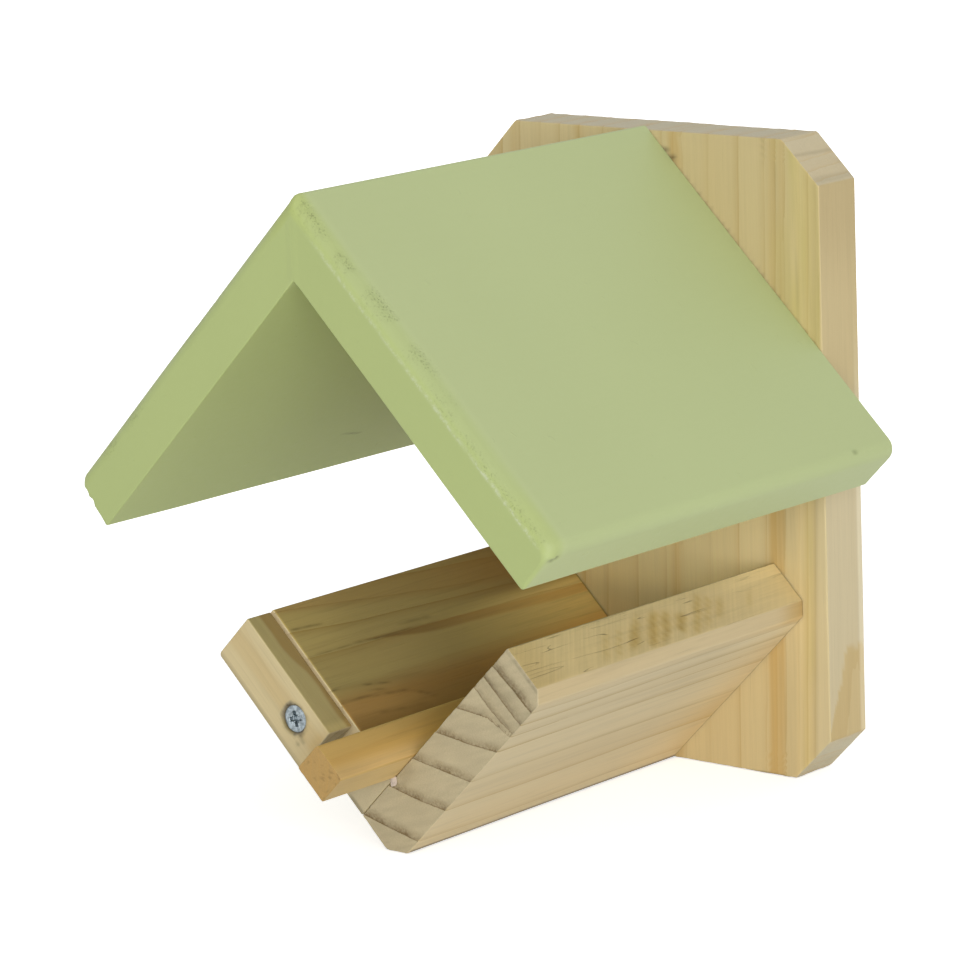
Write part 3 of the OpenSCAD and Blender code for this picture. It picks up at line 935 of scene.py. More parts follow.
class JARHOLDER_OT_roof_boards(BoardOperator):
    """Makes the two painted roof boards with rounded outer edges and a mitred ridge."""

    bl_idname = "jar_holder.roof_boards"
    bl_label = "Roof Boards"

    def execute(self, context):
        sizes, colours = self.settings(context)
        paint = paint_material("sage_paint", colours)
        thick, bend, ridge = sizes.roof_t * MM, sizes.roof_round * MM, sizes.ridge_round * MM
        inner_z = RIDGE_Z - thick / HALF
        eave = (inner_z - ROOF_LOW[2], ROOF_LOW[2])
        top = RIDGE_Z - math.tan(math.radians(22.5)) * ridge
        edges = [(225, (0, inner_z)), (315, eave), (45, (0, RIDGE_Z)), (90, (0, top)), (180, (0, 0))]
        splits = [corner_at(number) for number in (4, 0, 1, 3)]
        section = Section(edges, [1.0, bend, ridge, 0.02, 0.02], splits, counts=(300, 34),
                          far=([0.5, 1.2, bend, bend / HALF, 0.0], [0.5, bend, bend, bend, 0.5]),
                          near=([0.3, 0.3, 0.3, 0.3 / HALF, 0.0], 0.3))
        for hand, sign, seed in (("left", -1.0, 21), ("right", 1.0, 34)):
            skin = prism(section, WALL_TO_FRONT, ROOF_FRONT, stations=78)
            skin.fill_ends()
            look, pits = self.looks(skin, hand, seed, thick, bend)
            height = warp(skin.point, seed, 0.08) + sizes.pit_depth * MM * 1.6 * pits - 0.10
            height = height - self.chips(skin, hand, look)
            skin.swell(height * smooth(np.abs(skin.point[:, 0]), 0.2, 2.5))
            skin.point[:, 0] *= sign
            faces = skin.faces if sign > 0 else [part[:, ::-1] for part in skin.faces]
            make_piece(f"roof_{hand}_painted", skin.point, faces, look, paint, "holder",
                       [f"roof_{hand}_board"])
        return {"FINISHED"}

    def looks(self, skin, hand, seed, thick, bend):
        """Wear of the paint, and its pits.

        The ways are down the slope, out from the outer face into the board, and back from the front.
        """
        x, depth, z = skin.axes()
        down, out, back = (x - z + RIDGE_Z) * HALF, (RIDGE_Z - x - z) * HALF, ROOF_FRONT - depth
        outside = smooth((x + z) * HALF, RIDGE_Z * HALF - bend * 1.2, RIDGE_Z * HALF - bend * 0.9)
        under = smooth(out, thick - 1.0, thick - 0.3)
        plain = smooth(down, 60.0, 82.0)
        edge = np.maximum(0.55 * outside * fall(back, bend * 0.6, bend * 1.7), fall(back, 0.3, 1.2))
        edge = np.maximum(edge, smooth(out, thick - 1.2, thick - 0.4))
        # Rubbed line along the front, only on the right-hand board
        rubbed = hill(out - bend * 0.98, 0.50) * fall(back, 0.4, 1.0) * (hand == "right")
        rubbed = rubbed * smooth(speckle(seed + 3, down * 0.09), -1.1, 0.1)
        rubbed = rubbed * smooth(down, 8.0, 20.0) * (0.55 + 0.45 * smooth(down, 40.0, 62.0))
        # Painted light and shade round the front edge, weaker on the left-hand board
        round_way = bend * np.arctan2(bend - out, bend - back)
        beyond = 0.5 * np.pi * bend + back - bend
        way = np.where(back > bend, beyond, np.where(out > bend, bend - out, round_way))
        lift = np.interp(way, ROUND_WAY, ROUND_PAINTED_SHADING) * (1.0 - smooth(out, 4.2, 5.0) * smooth(back, 0.5, 1.0))
        lift = lift if hand == "right" else 0.55 * lift * smooth(way, -0.3, 0.3)
        yellow = outside * fall(back, bend * 0.8, bend * 1.6)
        yellow = yellow * (0.8 * fall(down, 8.0, 30.0) + 0.7 * smooth(down, 96.0, 118.0))
        dust = under * fall(depth, 85.0, 118.0) * smooth(down, 60.0, 90.0)
        # Torn paint where the round ends: an upper stretch that wanders back, and the front edge below
        drift = speckle(seed, down * 0.05, 0.0, float(seed))
        torn = outside * hill(back - bend + 0.8 - drift * 1.2, 1.5 + 0.7 * drift) * (1.0 - plain)
        torn = torn + (0.25 + 0.30 * plain) * outside * hill(back - 0.6, 0.8)
        torn = torn * smooth(speckle(seed + 1, down * 0.16, back * 0.1), -0.35, 0.5)
        pits = np.minimum(0.0, speckle(seed + 2, down * 1.1, back * 1.1) + 0.15) * torn
        chip = np.zeros(len(x))
        if hand == "left":
            scratch = hill(down - 107.5 + 0.24 * (depth - 80.4), 0.32) * bump(depth, 77.0, 84.0, 1.2)
            chip = 0.7 * under * scratch
        look = {"edge": edge, "torn": np.clip(torn, 0.0, 1.0), "chip": chip, "rubbed": rubbed, "yellow": yellow,
                "lift": lift, "dust": dust}
        return look, pits

    def chips(self, skin, hand, look):
        """Depth that the chips take off, each of them stained as well."""
        x, depth, z = skin.axes()
        taken = np.zeros(len(x))
        for (cx, cd, cz), radius, deep, stain in ROOF_CHIPS[hand]:
            gone = hill((x - cx) ** 2 + (depth - cd) ** 2 + (z - cz) ** 2, radius ** 2)
            taken += deep * gone
            look["chip"] = np.maximum(look["chip"], stain * gone)
        return taken


class JARHOLDER_OT_tray_boards(BoardOperator):
    """Makes the two boards of the V-shaped tray with torn growth rings on their sawn ends."""

    bl_idname = "jar_holder.tray_boards"
    bl_label = "Tray Boards"

    def execute(self, context):
        sizes, colours = self.settings(context)
        soft, sharp = sizes.planed_edge * MM, sizes.sawn_edge * MM
        cut_x = TRAY_HIGH[0]
        edges = [(135, at_slant(0, 0)), (225, at_slant(-TRAY_T, 0)), (270, (0, TRAY_LOW[2])),
                 (315, at_slant(0, -TRAY_T)), (0, (cut_x, 0)), (45, at_slant(TRAY_FACE, 0))]
        splits = [middle_after(1), middle_after(3), corner_at(5), corner_at(0)]
        section = Section(edges, [soft, 2.0, 2.0, 1.4, 1.4, soft], splits, counts=(190, 48),
                          far=(sharp, sharp), near=(0.3, 0.3))
        skin = prism(section, WALL_TO_FRONT, TRAY_FRONT, stations=104)
        skin.fill_ends()
        look = self.right_looks(skin, sizes.ring_relief * MM)
        wood = wood_material("tray_pine_right", colours, "tray_early tray_late tray_stain tray_end tray_groove",
                             line=0.74, fade=3.0, banding=0.22, chatter=0.8, end_dark=0.95)
        make_piece("tray_right_wood", skin.point, skin.faces, vars(look), wood, "holder",
                   ["tray_right_board"])

        edges = [(45, at_slant(0, 0)), (135, at_slant(0, TRAY_FACE)), (180, (-cut_x, 0)),
                 (225, at_slant(-TRAY_T, 0)), (315, at_slant(0, 0))]
        splits = [corner_at(3), corner_at(4), corner_at(0), middle_after(1)]
        section = Section(edges, [soft, 1.4, 1.4, 0.3, 0.3], splits, counts=(40, 230),
                          far=(sharp, sharp), near=(0.45, 0.45))
        skin = prism(section, WALL_TO_FRONT, TRAY_FRONT, stations=84)
        skin.fill_ends()
        look = self.left_looks(skin)
        skin.swell(warp(skin.point, 53, 0.08) - 0.1)
        wood = wood_material("tray_pine_left", colours, "left_early left_late left_stain tray_end tray_groove",
                             line=0.7, fade=3.4, banding=0.2, chatter=0.5, figure=1.25)
        make_piece("tray_left_wood", skin.point, skin.faces, vars(look), wood, "holder",
                   ["tray_left_board"])
        return {"FINISHED"}

    def right_looks(self, skin, relief):
        """Rings torn into the front end, saw chatter on the top, stains, soil, and painted light and shade;
        also carves the skin.
        """
        s, u, depth = skin.slanted()
        inner, middle, outer = RIGHT_LINES
        share = np.clip(-2.0 * u / TRAY_T, 0.0, 2.0)[:, None]
        lines = np.where(share < 1.0, inner + (middle - inner) * share,
                         middle + (outer - middle) * (share - 1.0))
        slow = speckle(41, depth * 0.02, s * 0.04, u * 0.04)
        wavy = s + (slow * 1.2 + 0.25 * np.sin(u * 0.55 + s * 0.2)) * smooth(TRAY_FRONT - depth, 0.0, 30.0)
        ring, pitch = count_rings(wavy, lines)
        ring = len(inner) - ring
        top = smooth(skin.facing_right(), 0.9, 0.98)
        saw_way = depth + 0.88 * (u + 8.0) * top
        look = wood_look(skin, np.stack([saw_way, s, u], 1), ring, pitch, (0, 1, 0))
        front = smooth(depth, TRAY_FRONT - 0.6, TRAY_FRONT - 0.2)
        outside = smooth(-u, TRAY_T - 0.6, TRAY_T - 0.1)
        rear = fall(depth, 18.0, 62.0)
        bevel = bump(s, 56.5, 62.0, 1.2) * (1.0 - front) * (1.0 - top)
        look.sawn = top * (0.35 + 0.65 * smooth(depth, 30.0, 60.0))
        # Darker in the rings, on the upper edge of the front and by the perch; a painted contact shadow at the
        # foot and painted shade in the crease by the wall
        turn = np.mod(ring, 1.0)
        line_end = fall(turn, 0.985, 1.0)
        rough = speckle(43, s * 0.9, u * 0.9)
        upper_rings = smooth(s, 34.0, 43.0) * smooth(turn, 0.50, 0.92) * (0.7 + 0.5 * rough)
        look.soil = front * (0.16 * smooth(turn, 0.90, 0.97) + 0.22 * upper_rings) * line_end
        look.soil += 0.40 * front * bump(s, 60.0, 61.0, 0.4) * (0.7 + 0.5 * rough)
        look.soil += 0.9 * (1.0 - front) * fall(skin.point[:, 2] - TRAY_LOW[2], 0.6, 1.5)
        look.soil += 0.5 * fall(depth - WALL_TO_FRONT, 0.2, 0.8)
        look.soil += 0.22 * front * bump(s, 1.5, 8.0, 1.5) * fall(-u, 2.5, 5.0)
        # Brown bars that the saw left on the top
        ragged_bar = saw_way + 0.5 * speckle(46, u * 0.5, depth * 0.2)
        brown = sum(dark * hill(ragged_bar - at, wide) for at, wide, dark in SAW_BARS)
        brown = brown * smooth(-u + 3.0 * speckle(44, depth * 0.12), 3.0, 7.0)
        brown = brown * fall(-u + 2.0 * speckle(42, depth * 0.2), 10.5, 13.5)
        look.tint = top * (0.30 + 0.44 * brown + 0.10 * smooth(depth, 122.0, 138.0))
        look.tint += (0.22 + 0.35 * fall(depth, 18.0, 32.0)) * bevel
        look.tint += outside * (0.16 * fall(s, -16.0, 22.0) + 0.24 * rear)
        look.lime = 0.14 * top
        look.pale = 0.25 * outside * bump(s, 53.0, 59.0, 1.5)
        # Lighter and darker parts of the outer face, the front end and the top; the lift low on the outer face
        # is painted light from the floor, and the lift towards the wall on the top is painted light in the
        # shade
        look.tone = outside * (0.16 * fall(s, -10.0, 30.0) + 0.18 * rear + 0.06 * bump(s, 20.0, 38.0, 6.0))
        streaks = speckle(48, (s - 0.5 * u) * 0.16, (u + 0.5 * s) * 1.1)
        look.tone += front * (0.03 + 0.08 * streaks - 0.09 * bump(s, 46.5, 55.0, 1.2))
        inner_rear = fall(depth, 30.0, 58.0) * fall(-u, 2.0, 7.0)
        look.tone += top * (0.16 * rear + 0.11 - 0.04 * smooth(-u, 8.0, 13.0) - 0.17 * brown
                            - 0.08 * smooth(depth, 122.0, 138.0) + 0.22 * inner_rear)
        # Carving: ring grooves and roughness of the front end, chatter of the top, a ragged front edge
        groove = smooth(turn, 0.70, 0.98) * line_end
        height = warp(skin.point, 45, 0.08) - 0.1
        height = height - front * (relief * groove * (0.8 + 0.3 * rough) + 0.06 * (rough + 1.0))
        height = height + top * 0.07 * speckle(47, saw_way * 0.55, s * 0.02, u * 0.02)
        ragged = hill(depth - TRAY_FRONT, 0.8) * (1.0 - front)
        skin.swell(height - ragged * 0.25 * np.maximum(0.0, lattice(skin.point * 1.1, 49)))
        return look

    def left_looks(self, skin):
        """Long grain with a flame of heartwood on the inner face, nicks, and the strip of end by the button;
        painted shade and light on the inner face and the strip.
        """
        s, u, depth = skin.slanted()
        ahead = (depth - WALL_TO_FRONT) / (TRAY_FRONT - WALL_TO_FRONT)
        lines = LEFT_LINES[0] * (1.0 - ahead[:, None]) + LEFT_LINES[1] * ahead[:, None]
        slow = speckle(51, depth * 0.025, u * 0.05, s * 0.05)
        ring, pitch = count_rings(u + 0.45 * s + 0.8 * slow, lines)
        look = wood_look(skin, np.stack([depth, u, s], 1), ring, pitch, (0, 1, 0))
        inside = smooth(skin.facing_right(), 0.8, 0.95)
        outside = fall(skin.facing_right(), 0.1, 0.5)
        look.sawn = smooth(skin.normal[:, 2] * HALF - skin.normal[:, 0] * HALF, 0.9, 0.98)
        # Inner face: the flame narrows to a tip towards the front; a painted shadow of the roof above,
        # heartwood below, and painted light that lifts the face towards the wall
        below = 43.9 - 0.033 * (120.0 - depth) + 0.35 * slow - u
        broad = 2.8 * smooth(122.0 - depth, 0.0, 38.0) + 0.1
        flame = smooth(below, -0.3, 0.25) * fall(below, broad * 0.8, broad * 1.2)
        flame = flame * smooth(121.0 - depth, 0.0, 4.0)
        tip = flame * smooth(depth, 70.0, 100.0)
        upper = smooth(u - (48.0 + 12.0 * ahead ** 1.6), -0.8, 0.8)
        deep = fall(depth, 10.0, 90.0)
        low = fall(u, 24.0, 33.0)
        shade = smooth(u, 41.5, 47.0)
        edge_line = hill(u - 27.4 - 0.105 * (depth - 100.0) - 0.5 * slow, 1.1) * smooth(depth, 88.0, 112.0)
        look.tint = inside * (0.33 + 0.04 * deep + 0.24 * flame + 0.06 * upper + 0.48 * low
                              + 0.30 * deep * shade)
        shaded = 0.02 - 0.03 * bump(depth, 76.0, 110.0, 9.0) + 0.12 * smooth(depth, 110.0, 134.0)
        look.tone = inside * (1.30 * deep * (1.0 - shade) - 0.22 * deep * shade - 0.14 - 0.12 * flame
                              - 0.12 * tip - 0.10 * edge_line - 0.10 * low * fall(depth, 110.0, 126.0)
                              + shade * shaded)
        look.lime = 0.12 * inside * smooth(depth, 95.0, 138.0) * (1.0 - upper) * (1.0 - low)
        # Curved scratch with a light rim, and the nicks
        curve = u - np.interp(depth, HOLLOW_DEPTH, HOLLOW_HEIGHT) - 0.3 * slow
        hollow = hill(curve, 0.5) * smooth(depth, 102.0, 107.0)
        look.tone += 0.10 * inside * bump(curve, -5.0, -0.4, 0.8) * smooth(depth, 102.0, 112.0)
        ragged = 0.65 + 0.6 * speckle(55, depth * 0.35, u * 0.9, s * 0.1)
        nick = sum(hill(u - at - tilt * (depth - mid), wide) * bump(depth, first, last, 1.5)
                   for at, tilt, mid, first, last, wide in LEFT_NICKS)
        # Painted highlight along the front arris of the inner face
        lip = smooth(depth, TRAY_FRONT - 0.55, TRAY_FRONT - 0.3) * smooth(s, -0.7, -0.35)
        look.tone += 0.55 * lip
        # Painted shade in the crease by the wall, and soil in the nicks and the scratch
        look.soil = 0.85 * fall(depth - WALL_TO_FRONT, 0.25, 0.7) * (1.0 - lip)
        look.soil += 0.62 * np.clip((nick + 0.8 * hollow) * ragged, 0.0, 1.0) * inside
        # The outer faces are paler, undoing the painted shade in this board's colours
        look.pale = 0.5 * outside
        look.tone += 0.15 * outside
        # Front end, covered in part by the button; the covered part is lightened as painted light in its shade
        strip = smooth(depth, TRAY_FRONT - 0.5, TRAY_FRONT - 0.1) * (1.0 - lip)
        covered = smooth(u, 13.0, 17.0)
        look.ending *= 1.0 - strip * (0.20 + 0.55 * covered)
        look.tint += strip * (0.20 + 0.30 * covered)
        look.tone += strip * (0.33 * covered - 0.08)
        look.soil += 0.15 * strip * smooth(u, 17.5, 20.0)
        look.soil += 0.55 * strip * fall(s, -17.2, -16.0) * fall(u, 5.0, 8.0)
        return look


class JARHOLDER_OT_perch_bar(BoardOperator):
    """Makes the golden perch bar in the corner of the V."""

    bl_idname = "jar_holder.perch_bar"
    bl_label = "Perch Bar"

    def execute(self, context):
        sizes, colours = self.settings(context)
        sharp = sizes.sawn_edge * MM
        edges = [(45, at_slant(PERCH_T, 0)), (135, at_slant(0, PERCH_W)), (225, at_slant(0, 0)),
                 (315, at_slant(0, 0))]
        splits = [corner_at(number) for number in (3, 0, 1, 2)]
        section = Section(edges, [1.1, 0.6, 0.6, 0.9], splits, counts=(36, 34),
                          far=(sharp, sharp), near=(0.2, 0.2))
        skin = prism(section, WALL_TO_FRONT, -PERCH_LOW[1], stations=96)
        skin.fill_ends()
        s, u, depth = skin.slanted()
        pitch = 3.1
        ring = log_rings(s, u, depth, pith=(-22.0, 40.0), tilt=(0.03, -0.05), spacing=pitch, seed=61)
        look = wood_look(skin, np.stack([depth, s, u], 1), ring, pitch, (0, 1, 0))
        sunny = smooth(skin.facing_right(), 0.6, 0.95)
        shady = fall(skin.facing_right(), -0.2, 0.5) * (1.0 - look.ending)
        look.tint = 0.45 * sunny
        look.pale = 0.22 * shady + 0.16 * sunny * fall(u, 2.0, 6.0)
        # Painted light and shade: the shady faces are lightened as light from below and darker towards the
        # front; the sunny face is lightened as painted light near the right tray board and darkened further out
        # by a painted shadow of that board
        look.tone = 0.20 * look.ending + shady * (0.20 - 0.32 * smooth(depth, 140.0, 168.0))
        look.tone += sunny * (0.30 * fall(u, 1.0, 9.0) * (1.0 - 0.5 * smooth(depth, 150.0, 168.0))
                              + 0.15 * fall(depth, 140.0, 165.0) * fall(u, 5.0, 11.0))
        look.tone -= sunny * (0.08 * fall(u, 2.0, 6.0)
                              + 0.08 * smooth(u, 6.0, 10.0) * fall(depth, 118.0, 148.0))
        specks = lattice(skin.point * 1.3, 67) * lattice(skin.point * 0.4, 68)
        look.soil = 0.30 * look.ending * smooth(specks, 0.18, 0.40)
        rough = lattice(skin.point * 0.9, 63) * look.ending
        skin.swell(warp(skin.point, 65, 0.1) + 0.1 * rough - 0.1)
        wood = wood_material("perch_wood", colours, "perch_early perch_late perch_late perch_end perch_late",
                             line=0.45, fade=2.2, banding=0.5, end_dark=0.4, figure=1.1)
        make_piece("perch_bar_wood", skin.point, skin.faces, vars(look), wood, "holder",
                   ["perch_bar"])
        return {"FINISHED"}


class JARHOLDER_OT_turn_button(BoardOperator):
    """Makes the turn button with its countersunk screw hole."""

    bl_idname = "jar_holder.turn_button"
    bl_label = "Turn Button"

    def execute(self, context):
        sizes, colours = self.settings(context)
        soft = sizes.planed_edge * MM
        near, far = -BUTTON_HIGH[1], -BUTTON_LOW[1]
        edges = [(45, at_slant(BUTTON_OUT, 0)), (135, at_slant(0, BUTTON_TOP)), (225, at_slant(BUTTON_IN, 0)),
                 (315, at_slant(0, BUTTON_END))]
        splits = [corner_at(number) for number in (3, 0, 1, 2)]
        section = Section(edges, [soft, 1.3, soft, soft], splits, counts=(44, 84),
                          far=(soft, soft), near=(soft, soft))
        skin = prism(section, near, far, stations=26)
        room, lip = 0.08, 0.45
        bore = SHANK_R + room
        steps = [(HEAD_MOUTH, far), (HEAD_MOUTH - lip, far - lip), (bore, far - HEAD_MOUTH + SHANK_R + room),
                 (bore, 0.5 * (near + far)), (bore, near)]
        drill(skin, PIVOT[0], PIVOT[2], BUTTON_GAP, steps, "far", "near")
        skin.fill_ends()
        s, u, depth = skin.slanted()
        pitch = 4.4
        ring = log_rings(s, depth, u, pith=(-14.0, 128.0), tilt=(0.02, 0.05), spacing=pitch, seed=71)
        look = wood_look(skin, np.stack([u, s, depth], 1), ring, pitch, (-HALF, 0, HALF))
        out = np.hypot(skin.point[:, 0] - PIVOT[0], skin.point[:, 2] - PIVOT[2])
        edge_side = smooth(skin.facing_right(), 0.6, 0.95)
        face = smooth(-skin.normal[:, 1], 0.6, 0.95)
        # Heartwood streak and a darker far edge on the face; sap and a dark rear band on the side
        streak = bump(s + 0.04 * (u - 40.0), -11.0, -4.5, 1.5)
        end_lift = fall(u, 20.5, 23.5)
        wide = 2.4 * smooth(u, 34.0, 50.0) + 0.6 * speckle(77, u * 0.2)
        back_band = fall(depth - wide, near + 1.5, near + 3.0)
        # The side that faces up the tray is darkened as painted shade, less towards its lower end
        look.tone = edge_side * (0.25 * end_lift - 0.30) + face * (
            0.04 * end_lift + 0.03 - 0.03 * streak - 0.26 * fall(s, -17.4, -15.6))
        look.tint = edge_side * (0.28 + 0.50 * back_band) + face * (0.17 * end_lift + 0.05 + 0.24 * streak)
        look.lime = 0.28 * edge_side * (1.0 - back_band)
        # Soil and shade: the band, the lower end, torn fibres round the screw, painted shade down the hole, and
        # a few crumbs
        look.soil = 0.24 * edge_side * back_band + 0.35 * smooth(-skin.normal[:, 2], 0.55, 0.68) * (1.0 - face)
        rim = hill(out - HEAD_MOUTH, 0.7) * (0.6 + 0.5 * lattice(skin.point * 0.9, 73))
        look.soil += 0.75 * rim + 0.9 * (out < HEAD_MOUTH - 0.2) * (depth > near + 0.5)
        for at, up in CRUMBS:
            look.soil += 0.5 * face * hill(np.hypot(s - at, u - up), 0.75)
        look.soil = np.clip(look.soil, 0.0, 1.0)
        skin.swell((warp(skin.point, 75, 0.08) - 0.08) * smooth(out, HEAD_MOUTH, HEAD_MOUTH + 3.0))
        wood = wood_material("button_pine", colours, "button_early button_late back_stain tray_end tray_groove",
                             line=0.5, fade=2.4, banding=0.25)
        make_piece("turn_button_wood", skin.point, skin.faces, vars(look), wood, "button",
                   ["turn_button"])
        return {"FINISHED"}


def screw_form(long, spin):
    """Countersunk screw with its head facing along +z: a profile turned round the axis, then spun.

    The profile runs from the middle of the head out to its rim, down the cone and the shank to the tip. The
    head's face is pressed in by a cross of four wings that narrows with depth, and by four short ribs.
    """
    inner = np.linspace(0.12, 2.75, 26)
    cone = SHANK_R - HEAD_R
    rim = [(3.2, 0.0), (3.6, -0.01), (HEAD_R - 0.12, -0.04), (HEAD_R, -0.16), (HEAD_R - 0.05, -0.3),
           (SHANK_R + 0.5, cone + 0.3), (SHANK_R, cone - 0.6), (SHANK_R, -0.5 * long), (SHANK_R, 4.5 - long),
           (0.9, 1.6 - long), (0.12, -long)]
    radius, height = np.concatenate([np.stack([inner, np.zeros(len(inner))], 1), rim]).T
    around = np.linspace(0.0, 2.0 * np.pi, SCREW_TURN, endpoint=False)
    r, a = np.meshgrid(radius, around, indexing="ij")
    x, y = r * np.cos(a), r * np.sin(a)
    wing, reach = np.minimum(np.abs(x), np.abs(y)), np.maximum(np.abs(x), np.abs(y))
    cross = fall(wing, 0.46, 0.72) * fall(reach, 1.9, 2.4)
    star = np.minimum(np.abs(x - y), np.abs(x + y)) * HALF
    rib = fall(star, 0.12, 0.3) * fall(r, 1.2, 1.7)
    core = fall(r, 0.75, 1.2)
    pressed = np.maximum(np.maximum(cross * 1.3, rib * 0.6), core * 1.5)
    z = height[:, None] - pressed * (r < 2.8)
    form, faces = turned(np.stack([x, y, z], 2), np.array([[0.0, 0.0, -1.5], [0.0, 0.0, -long - 0.05]]))
    wide = form[:, 0] * math.cos(spin) - form[:, 1] * math.sin(spin)
    high = form[:, 0] * math.sin(spin) + form[:, 1] * math.cos(spin)
    return wide, high, form[:, 2], faces


class JARHOLDER_OT_screws(BoardOperator):
    """Makes the zinc screws, and finishes the brads of the ridge."""

    bl_idname = "jar_holder.screws"
    bl_label = "Screws and Brads"

    def execute(self, context):
        colours = self.settings(context)[1]
        zinc = metal_material("zinc_plate", colours.zinc, rough_low=0.24, rough_high=0.46)
        steel = metal_material("bright_steel", colours.steel, rough_low=0.28, rough_high=0.45)
        for group, places in (("roof_screws", ROOF_SCREWS), ("tray_screws", TRAY_SCREWS)):
            points, parts = [], []
            for number, (x, z) in enumerate(places):
                wide, high, rise, faces = screw_form(BOARD_SCREW - TIP_ROOM, 0.7 * number + 0.2)
                points.append(np.stack([x - wide, rise - HEAD_SINK, z + high], 1))
                parts += [part + number * len(rise) for part in faces]
            make_piece(group + "_zinc", np.concatenate(points), parts, {}, zinc, "holder",
                       [group])
        wide, high, rise, faces = screw_form(BUTTON_SCREW - TIP_ROOM, math.radians(12.0))
        point = np.stack([PIVOT[0] + wide, BUTTON_LOW[1] + HEAD_SINK - rise, PIVOT[2] + high], 1)
        make_piece("turn_button_screw_zinc", point, faces, {}, zinc, "holder",
                   ["turn_button_screw"])
        brads = frame["nodes"]["ridge_brads"]
        brads.data.materials.clear()
        brads.data.materials.append(steel)
        return {"FINISHED"}


class JARHOLDER_OT_glue(BoardOperator):
    """Makes the bead of glue that was pressed out under the perch bar.

    It is a ball by two angles, p from pole to pole and a round the axis. Sines of both make it lumpy, and it is
    flat to the front and leans to the right.
    """

    bl_idname = "jar_holder.glue"
    bl_label = "Glue Bead"

    def execute(self, context):
        colours = self.settings(context)[1]
        up, around = np.linspace(0.0, np.pi, 28)[1:-1], np.linspace(0.0, 2.0 * np.pi, 48, endpoint=False)
        p, a = np.meshgrid(up, around, indexing="ij")
        lump = 1.0 + 0.16 * np.sin(2.0 * a + 1.0) * np.sin(p) + 0.10 * np.cos(3.0 * p + a)
        x0, z0 = at_slant(-0.6, -0.6)
        y0 = -TRAY_FRONT - 0.05
        lean, wide, flat, high, pole = 0.5, 1.0, 0.35, 1.5, 1.6
        x = x0 + wide * lump * np.sin(p) * np.cos(a) + lean * np.cos(p)
        y = y0 + flat * lump * np.sin(p) * np.sin(a)
        z = z0 + high * lump * np.cos(p)
        poles = np.array([[x0 + lean, y0, z0 + pole], [x0 - lean, y0, z0 - pole]])
        point, faces = turned(np.stack([x, y, z], 2), poles)
        make_piece("glue_bead", point, faces, {}, glue_material("dried_glue", colours.glue), "holder",
                   [])
        return {"FINISHED"}


def outlook(turn, rise):
    """Directions to the right and back to the viewer, for a turn to the right of the front and a rise."""
    back = np.array([math.sin(turn) * math.cos(rise), -math.cos(turn) * math.cos(rise), math.sin(rise)])
    return np.array([math.cos(turn), math.sin(turn), 0.0]), back


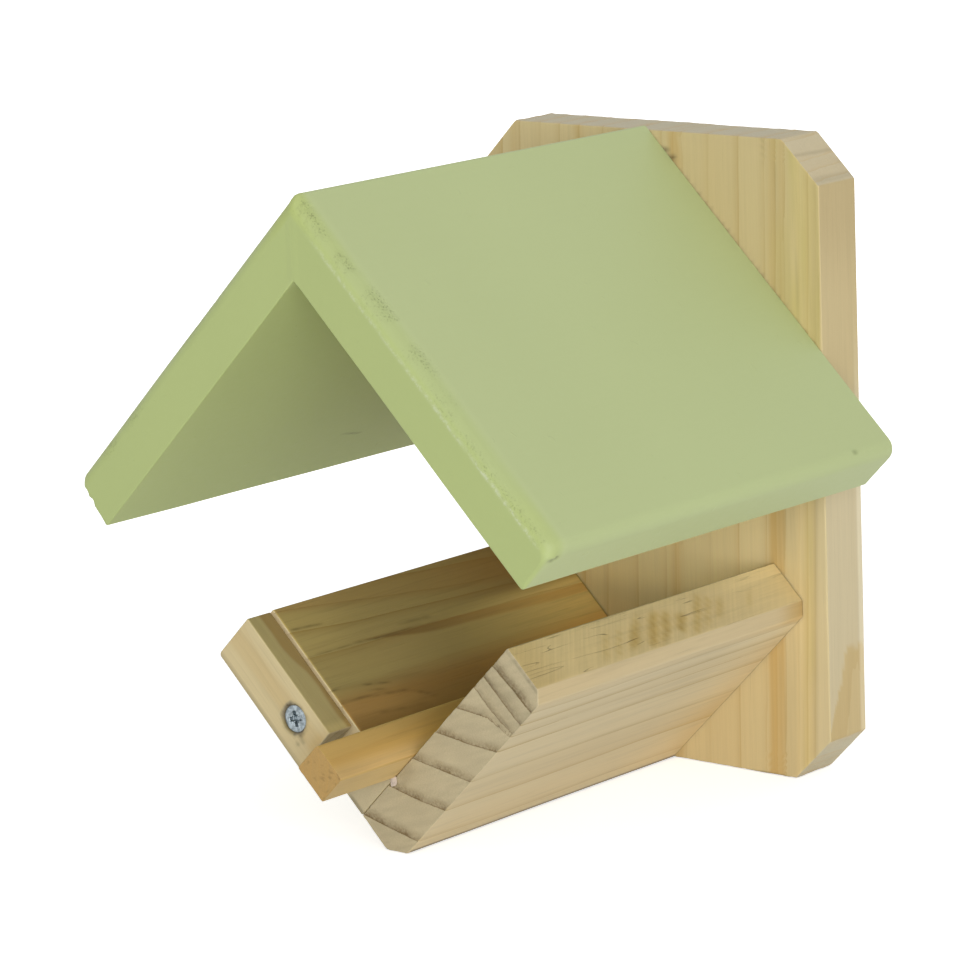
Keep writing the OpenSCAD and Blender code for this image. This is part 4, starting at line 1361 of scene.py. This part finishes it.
class JARHOLDER_OT_stage(bpy.types.Operator):
    """Sets up the pale floor, the white surround, the soft lamps and the camera."""

    bl_idname = "jar_holder.stage"
    bl_label = "Studio"
    bl_options = {"REGISTER", "UNDO"}

    def execute(self, context):
        scene, studio = context.scene, context.scene.jar_holder_studio
        scene.view_settings.view_transform = "Standard"
        self.floor(scene)
        self.surround(scene, studio)
        self.lamps(scene, studio)
        self.camera(scene, studio)
        return {"FINISHED"}

    def seen(self, start):
        """1 for rays from the camera, from a mirror or through glass, and 0 for rays that only carry light."""
        path = start.node("ShaderNodeLightPath").output.node
        camera, glossy, through = (Sock(start.tree, path.outputs[name])
                                   for name in ("Is Camera Ray", "Is Glossy Ray", "Is Transmission Ray"))
        return camera.math("MAXIMUM", camera.math("MAXIMUM", camera, glossy), through)

    def floor(self, scene):
        """Flat square, a grid of two parameters, level with the foot of the tray."""
        side = np.linspace(-FLOOR_REACH, FLOOR_REACH, 9)
        x, y = np.meshgrid(side, side, indexing="xy")
        point = np.stack([x, y, np.full(x.shape, BACK_LOW[2] - FLOOR_DROP)], 2).reshape(-1, 3)
        number = np.arange(x.size).reshape(x.shape)
        quads = np.stack([number[:-1, :-1], number[:-1, 1:], number[1:, 1:], number[1:, :-1]], 2).reshape(-1, 4)
        mesh = bpy.data.meshes.new("studio_floor")
        mesh.from_pydata((point / MM).tolist(), [], quads.tolist())
        material, start = new_material("studio_floor_white")
        away = start.node("ShaderNodeVectorMath", {"operation": "LENGTH"}, {0: start.place()}, out=1)
        share = self.seen(start) * (0.62 + away.rise(0.22, 0.60) * 0.38)
        matt = start.node("ShaderNodeBsdfDiffuse", None, {"Color": opaque(scene.jar_holder_colours.floor)})
        glow = start.node("ShaderNodeEmission", None, {"Color": WHITE, "Strength": 1.0})
        lit = start.node("ShaderNodeAddShader", None, {0: matt, 1: glow})
        surface = start.node("ShaderNodeMixShader", None, {0: share, 1: matt, 2: lit})
        start.node("ShaderNodeOutputMaterial", None, {"Surface": surface})
        mesh.materials.append(material)
        plane = bpy.data.objects.new("studio_floor", mesh)
        scene.collection.objects.link(plane)

    def surround(self, scene, studio):
        """World: white where it is seen or mirrored, and an even soft light elsewhere."""
        world = bpy.data.worlds.new("studio_surround")
        world.use_nodes = True
        world.node_tree.nodes.clear()
        start = Sock(world.node_tree)
        soft, white = (start.node("ShaderNodeBackground", None, {"Color": WHITE, "Strength": strength})
                       for strength in (studio.ambient, 1.0))
        surface = start.node("ShaderNodeMixShader", None, {0: self.seen(start), 1: soft, 2: white})
        start.node("ShaderNodeOutputWorld", None, {"Surface": surface})
        scene.world = world

    def lamps(self, scene, studio):
        """Square lamps of soft white light, each aimed at the middle of the tray."""
        for key, (turn, rise) in LAMPS.items():
            right, back = outlook(math.radians(turn), math.radians(rise))
            lamp = bpy.data.lights.new(key + "_lamp", "AREA")
            lamp.shape = "SQUARE"
            lamp.size = LAMP_SIZE
            lamp.energy = getattr(studio, key)
            self.put(scene, lamp, right, back, np.array(LAMP_AIM) + LAMP_AWAY * back)

    def camera(self, scene, studio):
        """Camera on a circle round its aim, turned by azimuth, elevation and roll."""
        level, back = outlook(studio.azimuth, studio.elevation)
        right = math.cos(studio.roll) * level + math.sin(studio.roll) * np.cross(back, level)
        data = bpy.data.cameras.new("photo_camera")
        data.lens = studio.lens
        data.sensor_width = SENSOR
        data.clip_start, data.clip_end = 0.05, 20.0
        scene.camera = self.put(scene, data, right, back, np.array(studio.aim) + back * studio.distance)

    def put(self, scene, data, right, back, place):
        """Object named like its data, whose own axes are right, up and back."""
        made = bpy.data.objects.new(data.name, data)
        axes = np.stack([right, np.cross(back, right), back], 1)
        made.matrix_world = Matrix([[*row, p] for row, p in zip(axes.tolist(), place)] + [[0.0, 0.0, 0.0, 1.0]])
        scene.collection.objects.link(made)
        return made


class JARHOLDER_PT_panel(bpy.types.Panel):
    """Lists the sizes, the colours, the studio's settings and the steps."""

    bl_idname = "JARHOLDER_PT_panel"
    bl_label = "Jar Holder"
    bl_space_type = "VIEW_3D"
    bl_region_type = "UI"
    bl_category = "Jar Holder"

    def draw(self, context):
        for group in GROUPS:
            column = self.layout.box().column()
            settings = getattr(context.scene, group)
            for key in settings.__annotations__:
                column.prop(settings, key)
        for step in STEPS:
            self.layout.operator(step.bl_idname)


GROUPS = {
    "jar_holder_sizes": JARHOLDER_PG_sizes,
    "jar_holder_colours": JARHOLDER_PG_colours,
    "jar_holder_studio": JARHOLDER_PG_studio,
}
STEPS = (
    JARHOLDER_OT_stage,
    JARHOLDER_OT_back_board,
    JARHOLDER_OT_roof_boards,
    JARHOLDER_OT_tray_boards,
    JARHOLDER_OT_perch_bar,
    JARHOLDER_OT_turn_button,
    JARHOLDER_OT_screws,
    JARHOLDER_OT_glue,
)


def register():
    for name, group in GROUPS.items():
        bpy.utils.register_class(group)
        setattr(bpy.types.Scene, name, bpy.props.PointerProperty(type=group))
    for step in STEPS:
        bpy.utils.register_class(step)
    bpy.utils.register_class(JARHOLDER_PT_panel)


def unregister():
    bpy.utils.unregister_class(JARHOLDER_PT_panel)
    for step in reversed(STEPS):
        bpy.utils.unregister_class(step)
    for name, group in GROUPS.items():
        delattr(bpy.types.Scene, name)
        bpy.utils.unregister_class(group)


def main():
    """Builds everything in order."""
    register()
    for step in STEPS:
        family, name = step.bl_idname.split(".")
        getattr(getattr(bpy.ops, family), name)()


if __name__ == "__main__":
    main()
